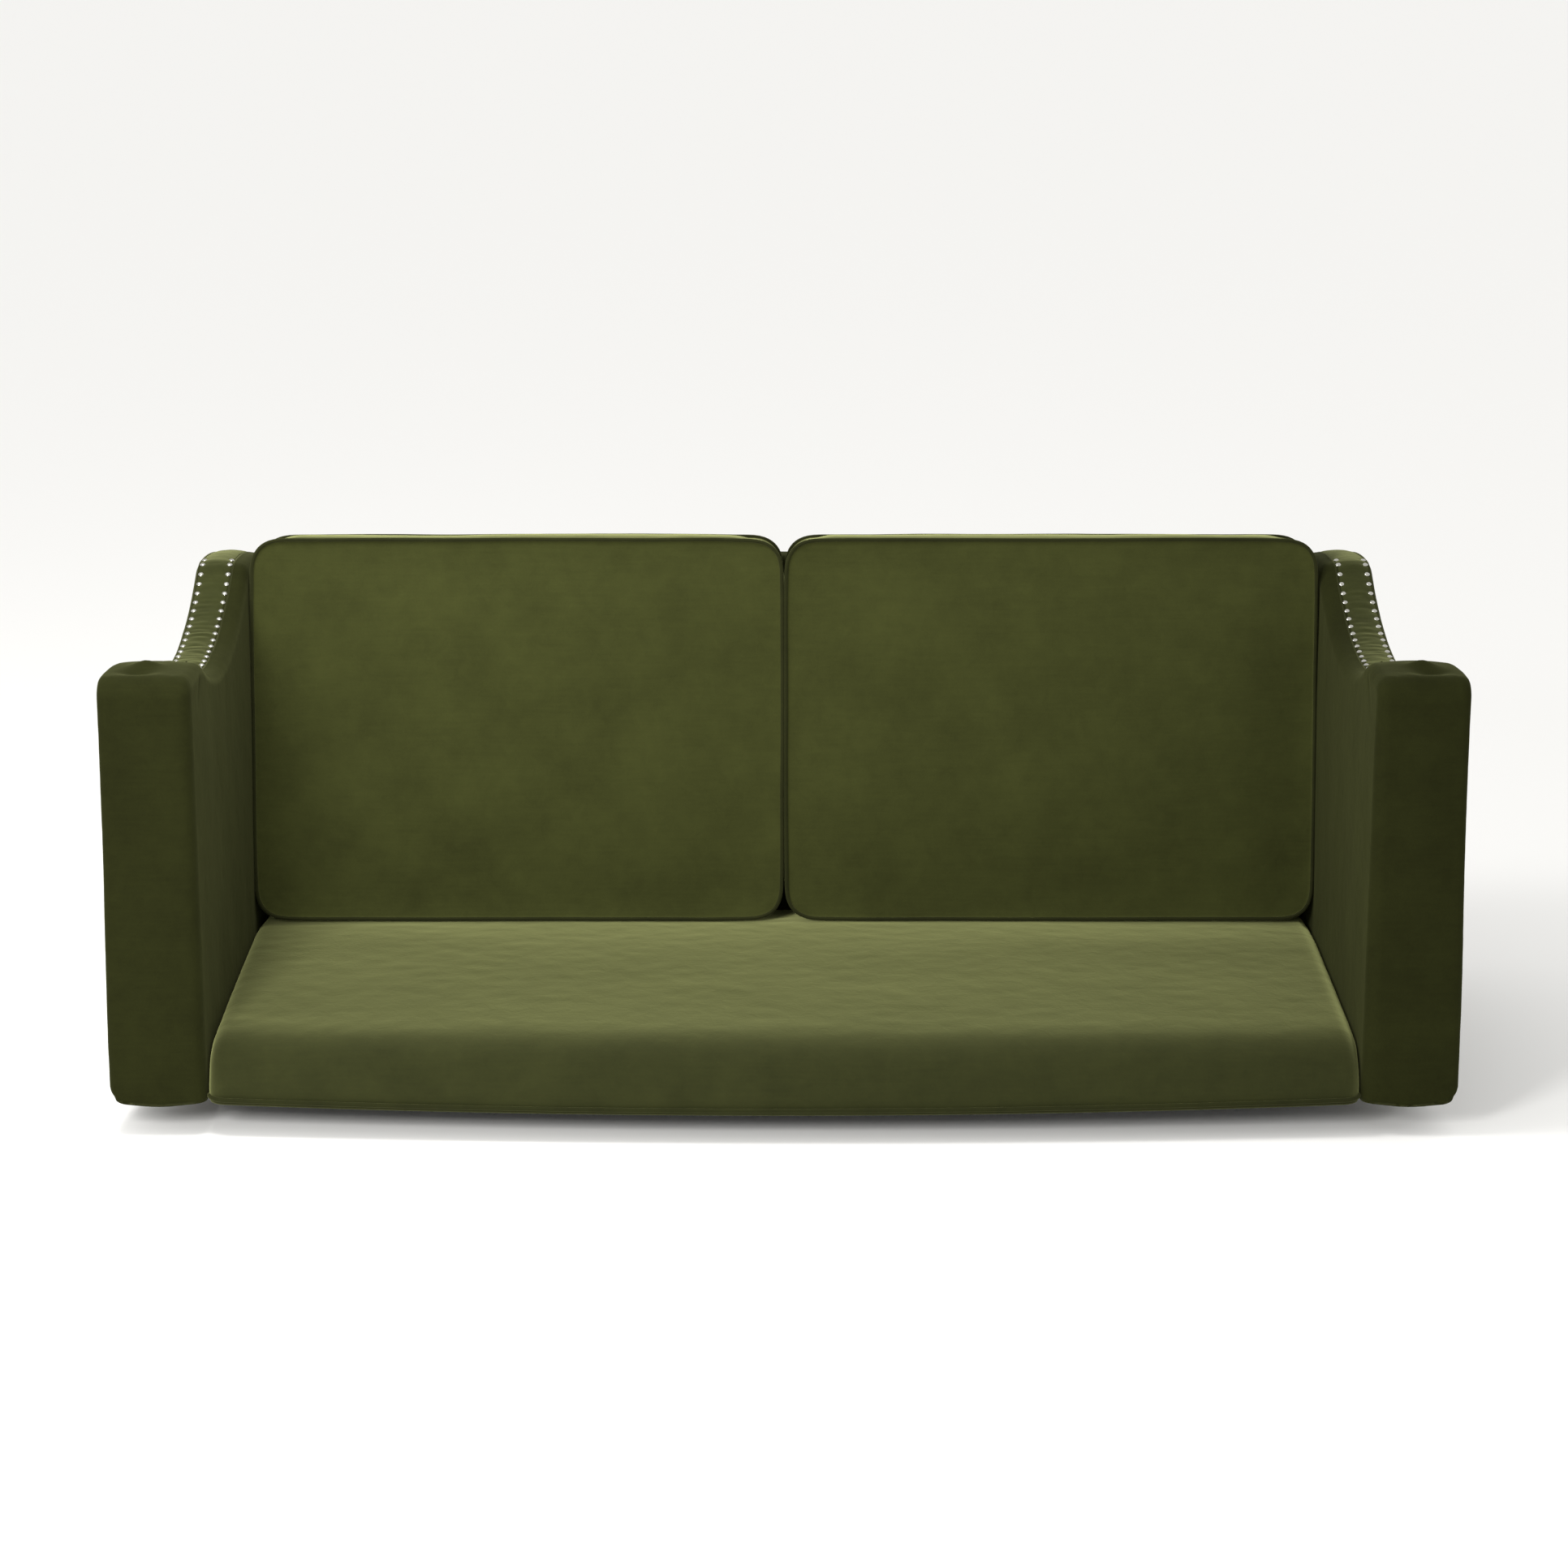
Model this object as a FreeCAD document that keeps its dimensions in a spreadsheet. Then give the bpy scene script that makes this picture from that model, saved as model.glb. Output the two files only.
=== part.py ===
import FreeCAD, Part
import math
import os
import Sketcher

# A three-seat sofa: two arms with a hollow-swept top, a reclined back, a sprung
# bench seat, two loose back cushions and six short feet.
# Frame: millimetres, +Z up, the front faces -Y, x = 0 is the middle of the width,
# y = 0 the middle of the depth, z = 0 the floor. "left" is the -X side.

doc = FreeCAD.newDocument("Sofa")
sheet = doc.addObject("Spreadsheet::Sheet", "dims")

dimensions = [
    # whole body
    ("base", 55.0, "underside of the upholstered body"),
    ("velvet", 2.5, "thickness of the velvet with its lining"),
    ("gap", 0.3, "room left between a cover and its filling"),
    # arms
    ("arm_front", -442.5, "front plane of the arms"),
    ("arm_rear", 479.5, "rear plane of the arms and back"),
    ("arm_inner", 914.0, "inner face of an arm"),
    ("arm_outer", 1004.0, "outer face of an arm behind its flare"),
    ("flare_back", -102.5, "where the outer face begins to flare"),
    ("flare_radius", 402.5, "radius of both curves of the flare"),
    ("flare_angle", 21.3, "turn of both curves of the flare"),
    ("nose_round", 45.0, "rounding from the front face to the top"),
    ("dip_y", -97.5, "lowest point of the swept top"),
    ("dip_z", 685.0, "height of the lowest point of the swept top"),
    ("fall_radius", 120.0, "convex curve behind the front crest"),
    ("hollow_radius", 385.0, "concave curve in front of the dip"),
    ("fall_angle", 28.2, "steepest slope in front of the dip"),
    ("rise_radius", 661.0, "concave curve behind the dip"),
    ("roll_radius", 52.0, "convex curve below the rear crest"),
    ("rise_angle", 30.7, "steepest slope behind the dip"),
    ("rear_radius", 900.0, "long fall of the top from the rear crest to the rear"),
    ("edge_roll", 24.0, "rounding along the edges of the arm top"),
    ("panel_margin", 30.0, "border around the outside panel"),
    # arm frame and padding
    ("arm_pad", 26.0, "padding over the arm's profile"),
    ("arm_core_in", 936.0, "inner side of the arm frame"),
    ("ply", 12.0, "plywood thickness"),
    ("core_width", 52.0, "width of the arm frame"),
    ("block_drop", 50.0, "rear crest down to the frame's top block"),
    ("post", 38.0, "posts and blocks"),
    # band and nails on the arm top
    ("band_centre", 970.0, "middle of the band on the arm top"),
    ("band_width", 54.0, "width of the band"),
    ("band_front", -290.0, "front end of the band, behind the front crest"),
    ("band_thick", 2.0, "thickness of the band"),
    ("nail_row", 22.8, "row of nails from the middle of the band"),
    ("nail_pitch", 26.0, "nail to nail"),
    ("nail_rear", 282.0, "last nail, just behind the rear crest"),
    ("nail_sphere", 6.0, "radius of the nail's domed head"),
    ("nail_height", 2.6, "height of the nail's head"),
    ("nail_lift", 0.4, "air under the rim of a nail's head"),
    # seat
    ("seat_half", 911.0, "half width of the seat"),
    ("seat_front", -474.5, "front of the seat at its middle"),
    ("bow_radius", 12200.0, "bow of the seat front in plan"),
    ("seat_edge_z", 154.0, "top of the seat at its front"),
    ("seat_crest_y", 100.0, "highest line of the seat"),
    ("seat_crest_z", 174.0, "height of the highest line of the seat"),
    ("seat_rear", 290.0, "rear of the seat"),
    ("seat_rear_z", 158.0, "top of the seat at its rear"),
    ("seat_roll", 42.0, "rounding of the seat's front edge"),
    ("welt", 8.0, "diameter of the seat's front welt"),
    ("welt_z", 66.0, "height of the seat's front welt"),
    # seat frame
    ("frame_half", 890.0, "half width of the seat frame"),
    ("frame_front", -430.0, "front of the seat frame"),
    ("frame_rear", 283.0, "rear of the seat frame"),
    ("frame_low", 60.0, "underside of the rails"),
    ("frame_top", 98.0, "top of the rails"),
    ("rail", 25.0, "thickness of the rails"),
    ("foam_low", 107.0, "underside of the seat foam"),
    ("cross_low", 81.0, "underside of the middle rail"),
    ("foot_board", 20.0, "thickness of the boards over the feet"),
    ("foot_board_width", 60.0, "depth of the boards over the feet"),
    ("wire", 3.8, "spring wire across its corners"),
    ("spring_bend", 18.0, "radius of a spring's bends"),
    ("spring_run", 14.0, "straight stretch between two bends"),
    ("spring_pitch", 208.0, "spring to spring"),
    # back
    ("back_half", 911.0, "half width of the back"),
    ("back_front", 294.0, "inner face of the back at the seat"),
    ("recline", 8.0, "recline of the back"),
    ("recline_z", 168.0, "height where the recline begins"),
    ("back_top", 774.0, "top of the back at its front"),
    ("back_fall", 14.0, "fall of the back's top towards the rear"),
    ("back_roll", 22.0, "rounding along the top of the back"),
    ("back_pad", 32.0, "padding in front of the back frame"),
    ("upright", 30.0, "thickness of a back upright"),
    ("upright_top", 676.0, "top of the uprights"),
    ("top_rail_z", 738.0, "top of the back's top rail"),
    ("strap", 50.0, "width of a webbing strap"),
    ("strap_thick", 1.6, "thickness of a webbing strap"),
    ("outside_half", 999.0, "half width of the outside back panel"),
    ("outside_thick", 2.8, "thickness of the outside back panel"),
    # back cushions
    ("cushion_width", 902.0, "width of a back cushion"),
    ("cushion_height", 655.0, "height of a back cushion"),
    ("cushion_thick", 150.0, "thickness of a back cushion"),
    ("cushion_x", 455.5, "middle of a cushion from the middle of the sofa"),
    ("cushion_y", 291.0, "lower rear edge of a cushion"),
    ("cushion_z", 166.0, "height of the lower rear edge of a cushion"),
    ("corner", 58.0, "corner radius of a cushion's face"),
    ("cushion_edge", 12.0, "rounding of a cushion's face into its boxing"),
    ("piping", 7.0, "diameter of a cushion's welts"),
    ("zip_length", 760.0, "length of a zip"),
    ("zip_width", 8.0, "width of a zip's teeth"),
    ("zip_thick", 1.4, "thickness of a zip's teeth"),
    ("slider_long", 12.0, "length of a zip slider"),
    ("slider_high", 3.4, "thickness of a zip slider"),
    # feet and fasteners
    ("foot_x", 830.0, "outer feet from the middle"),
    ("foot_front", -250.0, "front row of feet"),
    ("foot_back", 400.0, "rear row of feet"),
    ("foot_top_r", 30.0, "top radius of a foot"),
    ("foot_low_r", 22.0, "lower radius of a foot"),
    ("glide", 3.0, "thickness of a glide"),
    ("bolt_r", 4.0, "bolt radius"),
    ("bolt_room", 0.3, "radial clearance of a bolt in its hole"),
    ("arm_bolt_long", 98.0, "length of an arm bolt under its head"),
    ("arm_bolt_head", 4.0, "thickness of an arm bolt's head"),
    ("arm_hole_long", 95.0, "depth of an arm bolt's hole"),
    ("nut_long", 6.5, "thickness of a nut"),
    ("hanger_long", 45.0, "length of a foot's hanger bolt"),
    ("hanger_sink", 20.0, "depth of a hanger bolt in its foot"),
    ("nut_room", 20.0, "depth of a nut's pocket"),
    ("arm_bolt_z", 76.0, "height of the arm bolts"),
]

for row, (alias, number, note) in enumerate(dimensions, start=1):
    sheet.set(f"A{row}", note)
    sheet.set(f"B{row}", str(number))
    sheet.setAlias(f"B{row}", alias)
doc.recompute()

nodes = []


def num(expression):
    """The value of an expression on the sheet."""
    value = sheet.evalExpression(expression)
    return float(getattr(value, "Value", value))


def keep(item, label):
    """Mark an object as a sub-part and name it."""
    item.Label = label
    nodes.append(item)
    return item


def bind(item, **expressions):
    """Bind properties to expressions; a double underscore stands for a dot."""
    for name, expression in expressions.items():
        item.setExpression(name.replace("__", "."), expression)
    return item


def place(item, x="0", y="0", z="0"):
    return bind(item, Placement__Base__x=x, Placement__Base__y=y, Placement__Base__z=z)


def block(name, x, y, z):
    """A box between two expressions along each axis."""
    item = doc.addObject("Part::Box", name)
    bind(item, Length=f"({x[1]}) - ({x[0]})", Width=f"({y[1]}) - ({y[0]})", Height=f"({z[1]}) - ({z[0]})")
    return place(item, x[0], y[0], z[0])


def rod(name, radius, height, x, y, z, along_x=False):
    """A cylinder standing on a point, or lying along X from it."""
    item = doc.addObject("Part::Cylinder", name)
    bind(item, Radius=radius, Height=height)
    if along_x:
        item.Placement.Rotation = FreeCAD.Rotation(FreeCAD.Vector(0, 1, 0), 90)
    return place(item, x, y, z)


def group(name, items):
    item = doc.addObject("Part::Compound", name)
    item.Links = items
    return item


def minus(name, base, tool):
    item = doc.addObject("Part::Cut", name)
    item.Base = base
    item.Tool = tool
    return item


def shared(name, base, tool):
    item = doc.addObject("Part::Common", name)
    item.Base = base
    item.Tool = tool
    return item


def mirrored(name, source):
    item = doc.addObject("Part::Mirroring", name)
    item.Source = source
    item.Normal = FreeCAD.Vector(1, 0, 0)
    return item


def pair(source, label):
    """Keep a right-hand piece and its mirror image on the left."""
    keep(source, "right_" + label)
    keep(mirrored(source.Name + "Left", source), "left_" + label)


def outline(sketch, corners):
    """Close a sketch through corners (x, y, radius, side); a radius bends the stretch
    that leaves the corner into an arc, whose centre lies on its left (1) or right (-1)."""
    total = len(corners)
    points = [FreeCAD.Vector(num(c[0]), num(c[1]), 0) for c in corners]
    ends = []
    for i, corner in enumerate(corners):
        start = points[i]
        stop = points[(i + 1) % total]
        if len(corner) == 2:
            sketch.addGeometry(Part.LineSegment(start, stop), False)
            ends.append((1, 2))
            continue
        radius = num(corner[2])
        chord = stop - start
        rise = math.sqrt(radius ** 2 - (chord.Length / 2) ** 2)
        left = FreeCAD.Vector(-chord.y, chord.x, 0).normalize()
        centre = (start + stop) * 0.5 + left * rise * corner[3]
        first, last = (start, stop) if corner[3] > 0 else (stop, start)
        angles = [math.atan2(p.y - centre.y, p.x - centre.x) for p in (first, last)]
        circle = Part.Circle(centre, FreeCAD.Vector(0, 0, 1), radius)
        sketch.addGeometry(Part.ArcOfCircle(circle, angles[0], angles[1]), False)
        ends.append((1, 2) if corner[3] > 0 else (2, 1))
    for i, corner in enumerate(corners):
        before = (i - 1) % total
        sketch.addConstraint(Sketcher.Constraint("Coincident", before, ends[before][1], i, ends[i][0]))
        for axis, expression in (("DistanceX", corner[0]), ("DistanceY", corner[1])):
            rule = Sketcher.Constraint(axis, -1, 1, i, ends[i][0], num(expression))
            index = sketch.addConstraint(rule)
            sketch.setExpression(f"Constraints[{index}]", expression)
        if len(corner) > 2:
            index = sketch.addConstraint(Sketcher.Constraint("Radius", i, num(corner[2])))
            sketch.setExpression(f"Constraints[{index}]", corner[2])
    return sketch


def sketch_on(body, name, role, corners, offset="0"):
    """A closed sketch on one of a body's origin planes."""
    sketch = body.newObject("Sketcher::SketchObject", name)
    plane = [f for f in body.Origin.OriginFeatures if f.Role == role][0]
    sketch.AttachmentSupport = (plane, "")
    sketch.MapMode = "FlatFace"
    bind(sketch, AttachmentOffset__Base__z=offset)
    return outline(sketch, corners)


def padded(name, role, corners, length, offset="0", midplane=False):
    """A body with one padded outline."""
    body = doc.addObject("PartDesign::Body", name)
    sketch = sketch_on(body, name + "Outline", role, corners, offset)
    pad = body.newObject("PartDesign::Pad", name + "Pad")
    pad.Profile = sketch
    pad.Midplane = midplane
    bind(pad, Length=length)
    return body, pad


def pocketed(body, name, corners):
    """Cut a plan outline through the whole body."""
    sketch = sketch_on(body, name + "Outline", "XY_Plane", corners)
    pocket = body.newObject("PartDesign::Pocket", name)
    pocket.Profile = sketch
    pocket.Type = 1
    pocket.Midplane = True
    doc.recompute()
    return pocket


def rounded(body, base, name, radius, wanted):
    """Fillet the edges whose midpoint and direction satisfy a test."""
    doc.recompute()
    chosen = []
    for i, edge in enumerate(base.Shape.Edges, start=1):
        middle = edge.valueAt((edge.FirstParameter + edge.LastParameter) / 2)
        upright = abs(edge.tangentAt(edge.FirstParameter).z) > 0.999
        if wanted(middle, upright):
            chosen.append(f"Edge{i}")
    fillet = body.newObject("PartDesign::Fillet", name)
    fillet.Base = (base, chosen)
    bind(fillet, Radius=radius)
    doc.recompute()
    return fillet


# ---- arms --------------------------------------------------------------------

flare_x = "(dims.arm_outer + 2 * dims.flare_radius * (1 - cos(dims.flare_angle)))"
crest_y = "(dims.dip_y - (dims.fall_radius + dims.hollow_radius) * sin(dims.fall_angle))"
crest_z = "(dims.dip_z + (dims.fall_radius + dims.hollow_radius) * (1 - cos(dims.fall_angle)))"
roll_y = "(dims.dip_y + (dims.rise_radius + dims.roll_radius) * sin(dims.rise_angle))"
roll_z = "(dims.dip_z + (dims.rise_radius + dims.roll_radius) * (1 - cos(dims.rise_angle)))"


def arm_profile(inset, low):
    """The arm seen from its side, moved inwards by an inset."""
    fall = f"(dims.fall_radius - {inset})"
    rise = f"(dims.rise_radius + {inset})"
    rear = f"(dims.rear_radius - {inset})"
    depth = f"(dims.arm_rear - {inset} - {roll_y})"
    return [
        (f"dims.arm_rear - {inset}", low),
        (f"dims.arm_rear - {inset}",
         f"{roll_z} - dims.rear_radius + sqrt({rear} * {rear} - {depth} * {depth})", rear, 1),
        (roll_y, f"{roll_z} - {inset}", f"dims.roll_radius - {inset}", 1),
        (f"dims.dip_y + {rise} * sin(dims.rise_angle)",
         f"dims.dip_z + dims.rise_radius - {rise} * cos(dims.rise_angle)", rise, -1),
        ("dims.dip_y", f"dims.dip_z - {inset}", f"dims.hollow_radius + {inset}", -1),
        (f"{crest_y} + {fall} * sin(dims.fall_angle)",
         f"{crest_z} - dims.fall_radius + {fall} * cos(dims.fall_angle)", fall, 1),
        (crest_y, f"{crest_z} - {inset}"),
        ("dims.arm_front + dims.nose_round", f"{crest_z} - {inset}", f"dims.nose_round - {inset}", 1),
        (f"dims.arm_front + {inset}", f"{crest_z} - dims.nose_round"),
        (f"dims.arm_front + {inset}", low),
    ]


def flare_cut(inset):
    """Everything outside the arm's outer face, in plan."""
    return [
        (f"dims.arm_outer - {inset}", "dims.arm_rear + 20"),
        (f"dims.arm_outer - {inset}", "dims.flare_back", f"dims.flare_radius + {inset}", 1),
        (f"dims.arm_outer + dims.flare_radius - (dims.flare_radius + {inset}) * cos(dims.flare_angle)",
         f"dims.flare_back - (dims.flare_radius + {inset}) * sin(dims.flare_angle)",
         f"dims.flare_radius - {inset}", -1),
        (f"{flare_x} - {inset}", "dims.flare_back - 2 * dims.flare_radius * sin(dims.flare_angle)"),
        (f"{flare_x} + 20", "dims.flare_back - 2 * dims.flare_radius * sin(dims.flare_angle)"),
        (f"{flare_x} + 20", "dims.arm_rear + 20"),
    ]


def arm_block(name, inset, low="dims.base"):
    """The whole upholstered arm, moved inwards by an inset."""
    width = f"{flare_x} - dims.arm_inner - 2 * {inset}"
    start = f"dims.arm_inner + {inset}"
    body, pad = padded(name, "YZ_Plane", arm_profile(inset, low), width, start)
    pocket = pocketed(body, name + "Flare", flare_cut(inset))
    inner = num(start)
    outer = num(f"dims.arm_outer - {inset}") - 0.5
    front = num(f"dims.arm_front + {inset}")
    rear = num(f"dims.arm_rear - {inset}")

    def top_edge(middle, upright):
        if middle.z < num(low) + 1 or middle.y > rear - 0.1:
            return False
        if upright and middle.y > front + 1:
            return False
        return middle.x < inner + 0.1 or middle.x > outer

    rounded(body, pocket, name + "Roll", f"dims.edge_roll - {inset}", top_edge)
    return body


def arm_slice(name, inset, start, width, low="dims.base + 2"):
    """A slice of the arm's profile, such as a plywood side or the room for the frame."""
    return padded(name, "YZ_Plane", arm_profile(inset, low), width, start)[0]


core_low = "dims.arm_core_in"
core_high = "dims.arm_core_in + dims.core_width"

arm_outside = arm_block("ArmOutside", "0")
arm_lining = arm_block("ArmLining", "dims.velvet", "dims.base - 10")
arm_skin = minus("ArmSkin", arm_outside, arm_lining)
panel_zone = arm_slice("ArmPanelZone", "dims.panel_margin", "dims.arm_outer - 8", "80", "dims.base + 6")
arm_cover_whole = minus("ArmCoverWhole", arm_skin, panel_zone)
arm_outside_panel = shared("ArmOutsidePanel", arm_skin, panel_zone)

flare_block = block(
    "ArmFlareBlock",
    (f"{core_high} + 0.2", f"{core_high} + dims.post"),
    ("dims.arm_front + dims.arm_pad + 8", "dims.arm_front + dims.arm_pad + 8 + 2 * dims.post"),
    ("dims.base + 2", f"{crest_z} - 60"),
)
arm_foam_solid = arm_block("ArmFoamSolid", "(dims.velvet + dims.gap)")
arm_room = arm_slice("ArmRoom", "(dims.arm_pad - dims.gap)", f"{core_low} - 0.2", "dims.core_width + 0.4",
                     "dims.base - 10")
arm_foam_hollow = minus("ArmFoamHollow", arm_foam_solid, arm_room)
arm_padding_whole = minus("ArmPaddingWhole", arm_foam_hollow, flare_block)
arm_side_in_whole = arm_slice("ArmSideIn", "dims.arm_pad", core_low, "dims.ply")
arm_side_out = arm_slice("ArmSideOut", "dims.arm_pad", f"{core_high} - dims.ply", "dims.ply")

between = (f"{core_low} + dims.ply", f"{core_high} - dims.ply")
block_top = f"{roll_z} - dims.block_drop"
post_front = ("dims.arm_front + dims.arm_pad + 6", "dims.arm_front + dims.arm_pad + 6 + dims.post")
post_rear = ("dims.arm_rear - dims.arm_pad - 6 - dims.post", "dims.arm_rear - dims.arm_pad - 6")
arm_posts = group("ArmPosts", [
    block("ArmPostFront", between, post_front, ("dims.base + 2", f"{crest_z} - 46")),
    block("ArmPostMiddle", between, ("dims.dip_y", "dims.dip_y + dims.post"),
          ("dims.frame_top", "dims.dip_z - 34")),
    block("ArmPostRear", between, post_rear, ("dims.base + 2", block_top)),
])
arm_low_rail = block("ArmLowRail", between, (post_front[1], post_rear[0]),
                     ("dims.base + 2", "dims.frame_top"))
arm_high_rail = block("ArmHighRail", between, (f"{roll_y} + 20", post_rear[0]),
                      (f"{block_top} - dims.post", block_top))

# bolts that hold each arm to the seat frame
bolt_rows = ("dims.frame_front + 90", "dims.dip_y - 40", "dims.frame_rear - 120")
bolt_start = "dims.frame_half - dims.rail"
nut_start = f"{core_low} + dims.ply"
bolts = []
holes = []
nuts = []
for i, y in enumerate(bolt_rows):
    shank = rod(f"ArmBolt{i}", "dims.bolt_r", "dims.arm_bolt_long", bolt_start, y, "dims.arm_bolt_z", True)
    head = rod(f"ArmBoltHead{i}", "2 * dims.bolt_r", "dims.arm_bolt_head",
               f"{bolt_start} - dims.arm_bolt_head", y, "dims.arm_bolt_z", True)
    bolt = doc.addObject("Part::Fuse", f"ArmBoltWhole{i}")
    bolt.Base = shank
    bolt.Tool = head
    bolts.append(bolt)
    holes.append(rod(f"ArmBoltHole{i}", "dims.bolt_r + dims.bolt_room", "dims.arm_hole_long",
                     f"{bolt_start} - 2", y, "dims.arm_bolt_z", True))
    nut = rod(f"ArmNut{i}", "2 * dims.bolt_r", "dims.nut_long", nut_start, y, "dims.arm_bolt_z", True)
    bore = rod(f"ArmNutBore{i}", "dims.bolt_r + 0.05", "dims.nut_long + 1", f"{nut_start} - 0.5", y,
               "dims.arm_bolt_z", True)
    nuts.append(minus(f"ArmNutBored{i}", nut, bore))
arm_holes = group("ArmHoles", holes)
nut_pockets = group("NutPockets", [
    rod(f"NutPocket{i}", "2 * dims.bolt_r + 1", "dims.nut_room", f"{nut_start} - 0.5", y,
        "dims.arm_bolt_z", True)
    for i, y in enumerate(bolt_rows)
])

pair(minus("ArmCover", arm_cover_whole, arm_holes), "arm_cover")
pair(arm_outside_panel, "arm_outside_panel")
pair(minus("ArmPadding", arm_padding_whole, arm_holes), "arm_padding")
pair(minus("ArmInnerSide", arm_side_in_whole, arm_holes), "arm_inner_side")
pair(arm_side_out, "arm_outer_side")
pair(arm_posts, "arm_posts")
pair(minus("ArmBottomRail", arm_low_rail, nut_pockets), "arm_bottom_rail")
pair(arm_high_rail, "arm_top_block")
pair(flare_block, "arm_flare_block")
pair(group("ArmBolts", bolts + nuts), "arm_bolts")

# velvet band along the arm top
band_start = "dims.band_centre - dims.band_width / 2"
band_over = arm_slice("BandOver", "(0 - dims.band_thick)", band_start, "dims.band_width",
                      "dims.base + 100")
band_under = arm_slice("BandUnder", "(0 - 0.05)", f"{band_start} - 1", "dims.band_width + 2",
                       "dims.base + 90")
band_zone = block("BandZone", (f"{band_start} - 2", "dims.band_centre + dims.band_width"),
                  ("dims.band_front", "dims.arm_rear - 1"), ("dims.dip_z - 20", f"{roll_z} + 30"))
band_strip = minus("BandStrip", band_over, band_under)
band = shared("ArmBand", band_strip, band_zone)
pair(band, "arm_band")


def nailheads():
    """Domed heads in two rows along the band, square to its surface."""
    trail = doc.addObject("Sketcher::SketchObject", "NailTrail")
    outline(trail, arm_profile("(0 - dims.band_thick - dims.nail_lift)", "dims.base"))
    doc.recompute()
    top = [e for e in trail.Shape.Edges if e.BoundBox.YMin > num("dims.dip_z") - 30]
    marks = Part.Wire(Part.__sortEdges__(top)).discretize(Distance=num("dims.nail_pitch"))
    low_y = num("dims.band_front + dims.nail_pitch / 2")
    high_y = num("dims.nail_rear")
    sphere = num("dims.nail_sphere")
    sink = sphere - num("dims.nail_height")
    latitude = math.degrees(math.asin(sink / sphere))
    heads = []
    for before, here, ahead in zip(marks, marks[1:], marks[2:]):
        if not low_y < here.x < high_y:
            continue
        run = (ahead - before).normalize()
        normal = FreeCAD.Vector(0, -run.y, run.x)
        if normal.z < 0:
            normal = normal * -1
        for row in (-1, 1):
            foot = FreeCAD.Vector(num(f"dims.band_centre + {row} * dims.nail_row"), here.x, here.y)
            heads.append(Part.makeSphere(sphere, foot - normal * sink, normal, latitude, 90, 360))
    doc.removeObject("NailTrail")
    item = doc.addObject("Part::Feature", "ArmNails")
    item.Shape = Part.makeCompound(heads)
    return item


pair(nailheads(), "arm_nailheads")

# ---- seat --------------------------------------------------------------------


def seat_block(name, inset, low="dims.base + 1"):
    """The upholstered seat with its bowed front, moved inwards by an inset."""
    side = [
        ("dims.seat_front - 10", low),
        (f"dims.seat_rear - {inset}", low),
        (f"dims.seat_rear - {inset}", f"dims.seat_rear_z - {inset}"),
        ("dims.seat_crest_y", f"dims.seat_crest_z - {inset}"),
        ("dims.seat_front - 10", f"dims.seat_edge_z - {inset}"),
    ]
    half = f"(dims.seat_half - {inset})"
    body, pad = padded(name, "YZ_Plane", side, f"2 * {half}", "0", True)
    bend = f"(dims.bow_radius - {inset})"
    side_y = f"dims.seat_front + dims.bow_radius - sqrt({bend} * {bend} - ({half} + 5) * ({half} + 5))"
    front = [
        (f"0 - {half} - 5", side_y, bend, 1),
        (f"{half} + 5", side_y),
        (f"{half} + 5", "dims.seat_front - 20"),
        (f"0 - {half} - 5", "dims.seat_front - 20"),
    ]
    pocket = pocketed(body, name + "Bow", front)
    level = num(f"dims.seat_edge_z - {inset}")

    def front_edge(middle, upright):
        return abs(middle.x) < 1 and middle.y < -400 and abs(middle.z - level) < 3

    rounded(body, pocket, name + "Roll", f"dims.seat_roll - {inset}", front_edge)
    return body


seat_outside = seat_block("SeatOutside", "0")
seat_lining = seat_block("SeatLining", "dims.velvet", "dims.base - 10")
seat_foam_solid = seat_block("SeatFoamSolid", "(dims.velvet + dims.gap)", "dims.base + 4")
frame_x = ("0 - dims.frame_half", "dims.frame_half")
frame_room = block("FrameRoom", ("0 - dims.frame_half - 0.3", "dims.frame_half + 0.3"),
                   ("dims.frame_front - 0.3", "dims.seat_rear"), ("dims.base - 20", "dims.foam_low"))
pull_through = block("PullThrough", ("0 - dims.seat_half - 1", "dims.seat_half + 1"),
                     ("dims.frame_rear + 1", "dims.seat_rear + 1"), ("dims.base - 5", "dims.frame_top + 2"))
seat_skin = minus("SeatSkin", minus("SeatShell", seat_outside, seat_lining), pull_through)
seat_foam_tray = minus("SeatFoamTray", seat_foam_solid, frame_room)

left_holes = mirrored("ArmHolesLeft", arm_holes)
all_holes = group("AllArmHoles", [arm_holes, left_holes])
keep(minus("SeatCover", seat_skin, all_holes), "seat_cover")
keep(minus("SeatFoam", seat_foam_tray, all_holes), "seat_foam")

rails = ("dims.frame_low", "dims.frame_top")
inside = ("0 - dims.frame_half + dims.rail", "dims.frame_half - dims.rail")
keep(block("FrontRail", frame_x, ("dims.frame_front", "dims.frame_front + dims.rail"), rails), "front_rail")
keep(block("RearRail", inside, ("dims.frame_rear - dims.rail", "dims.frame_rear"), rails), "rear_rail")
keep(block("BackSill", inside, ("dims.arm_rear - 40", "dims.arm_rear - 6"), rails), "back_sill")
side_rail = block("SideRail", ("dims.frame_half - dims.rail", "dims.frame_half"),
                  ("dims.frame_front + dims.rail", "dims.arm_rear - 6"), rails)
pair(minus("SideRailDrilled", side_rail, arm_holes), "side_rail")
keep(block("MiddleRail", ("0 - dims.rail", "dims.rail"),
           ("dims.frame_front + dims.rail", "dims.frame_rear - dims.rail"),
           ("dims.cross_low", "dims.frame_top - 3")), "middle_rail")

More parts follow.
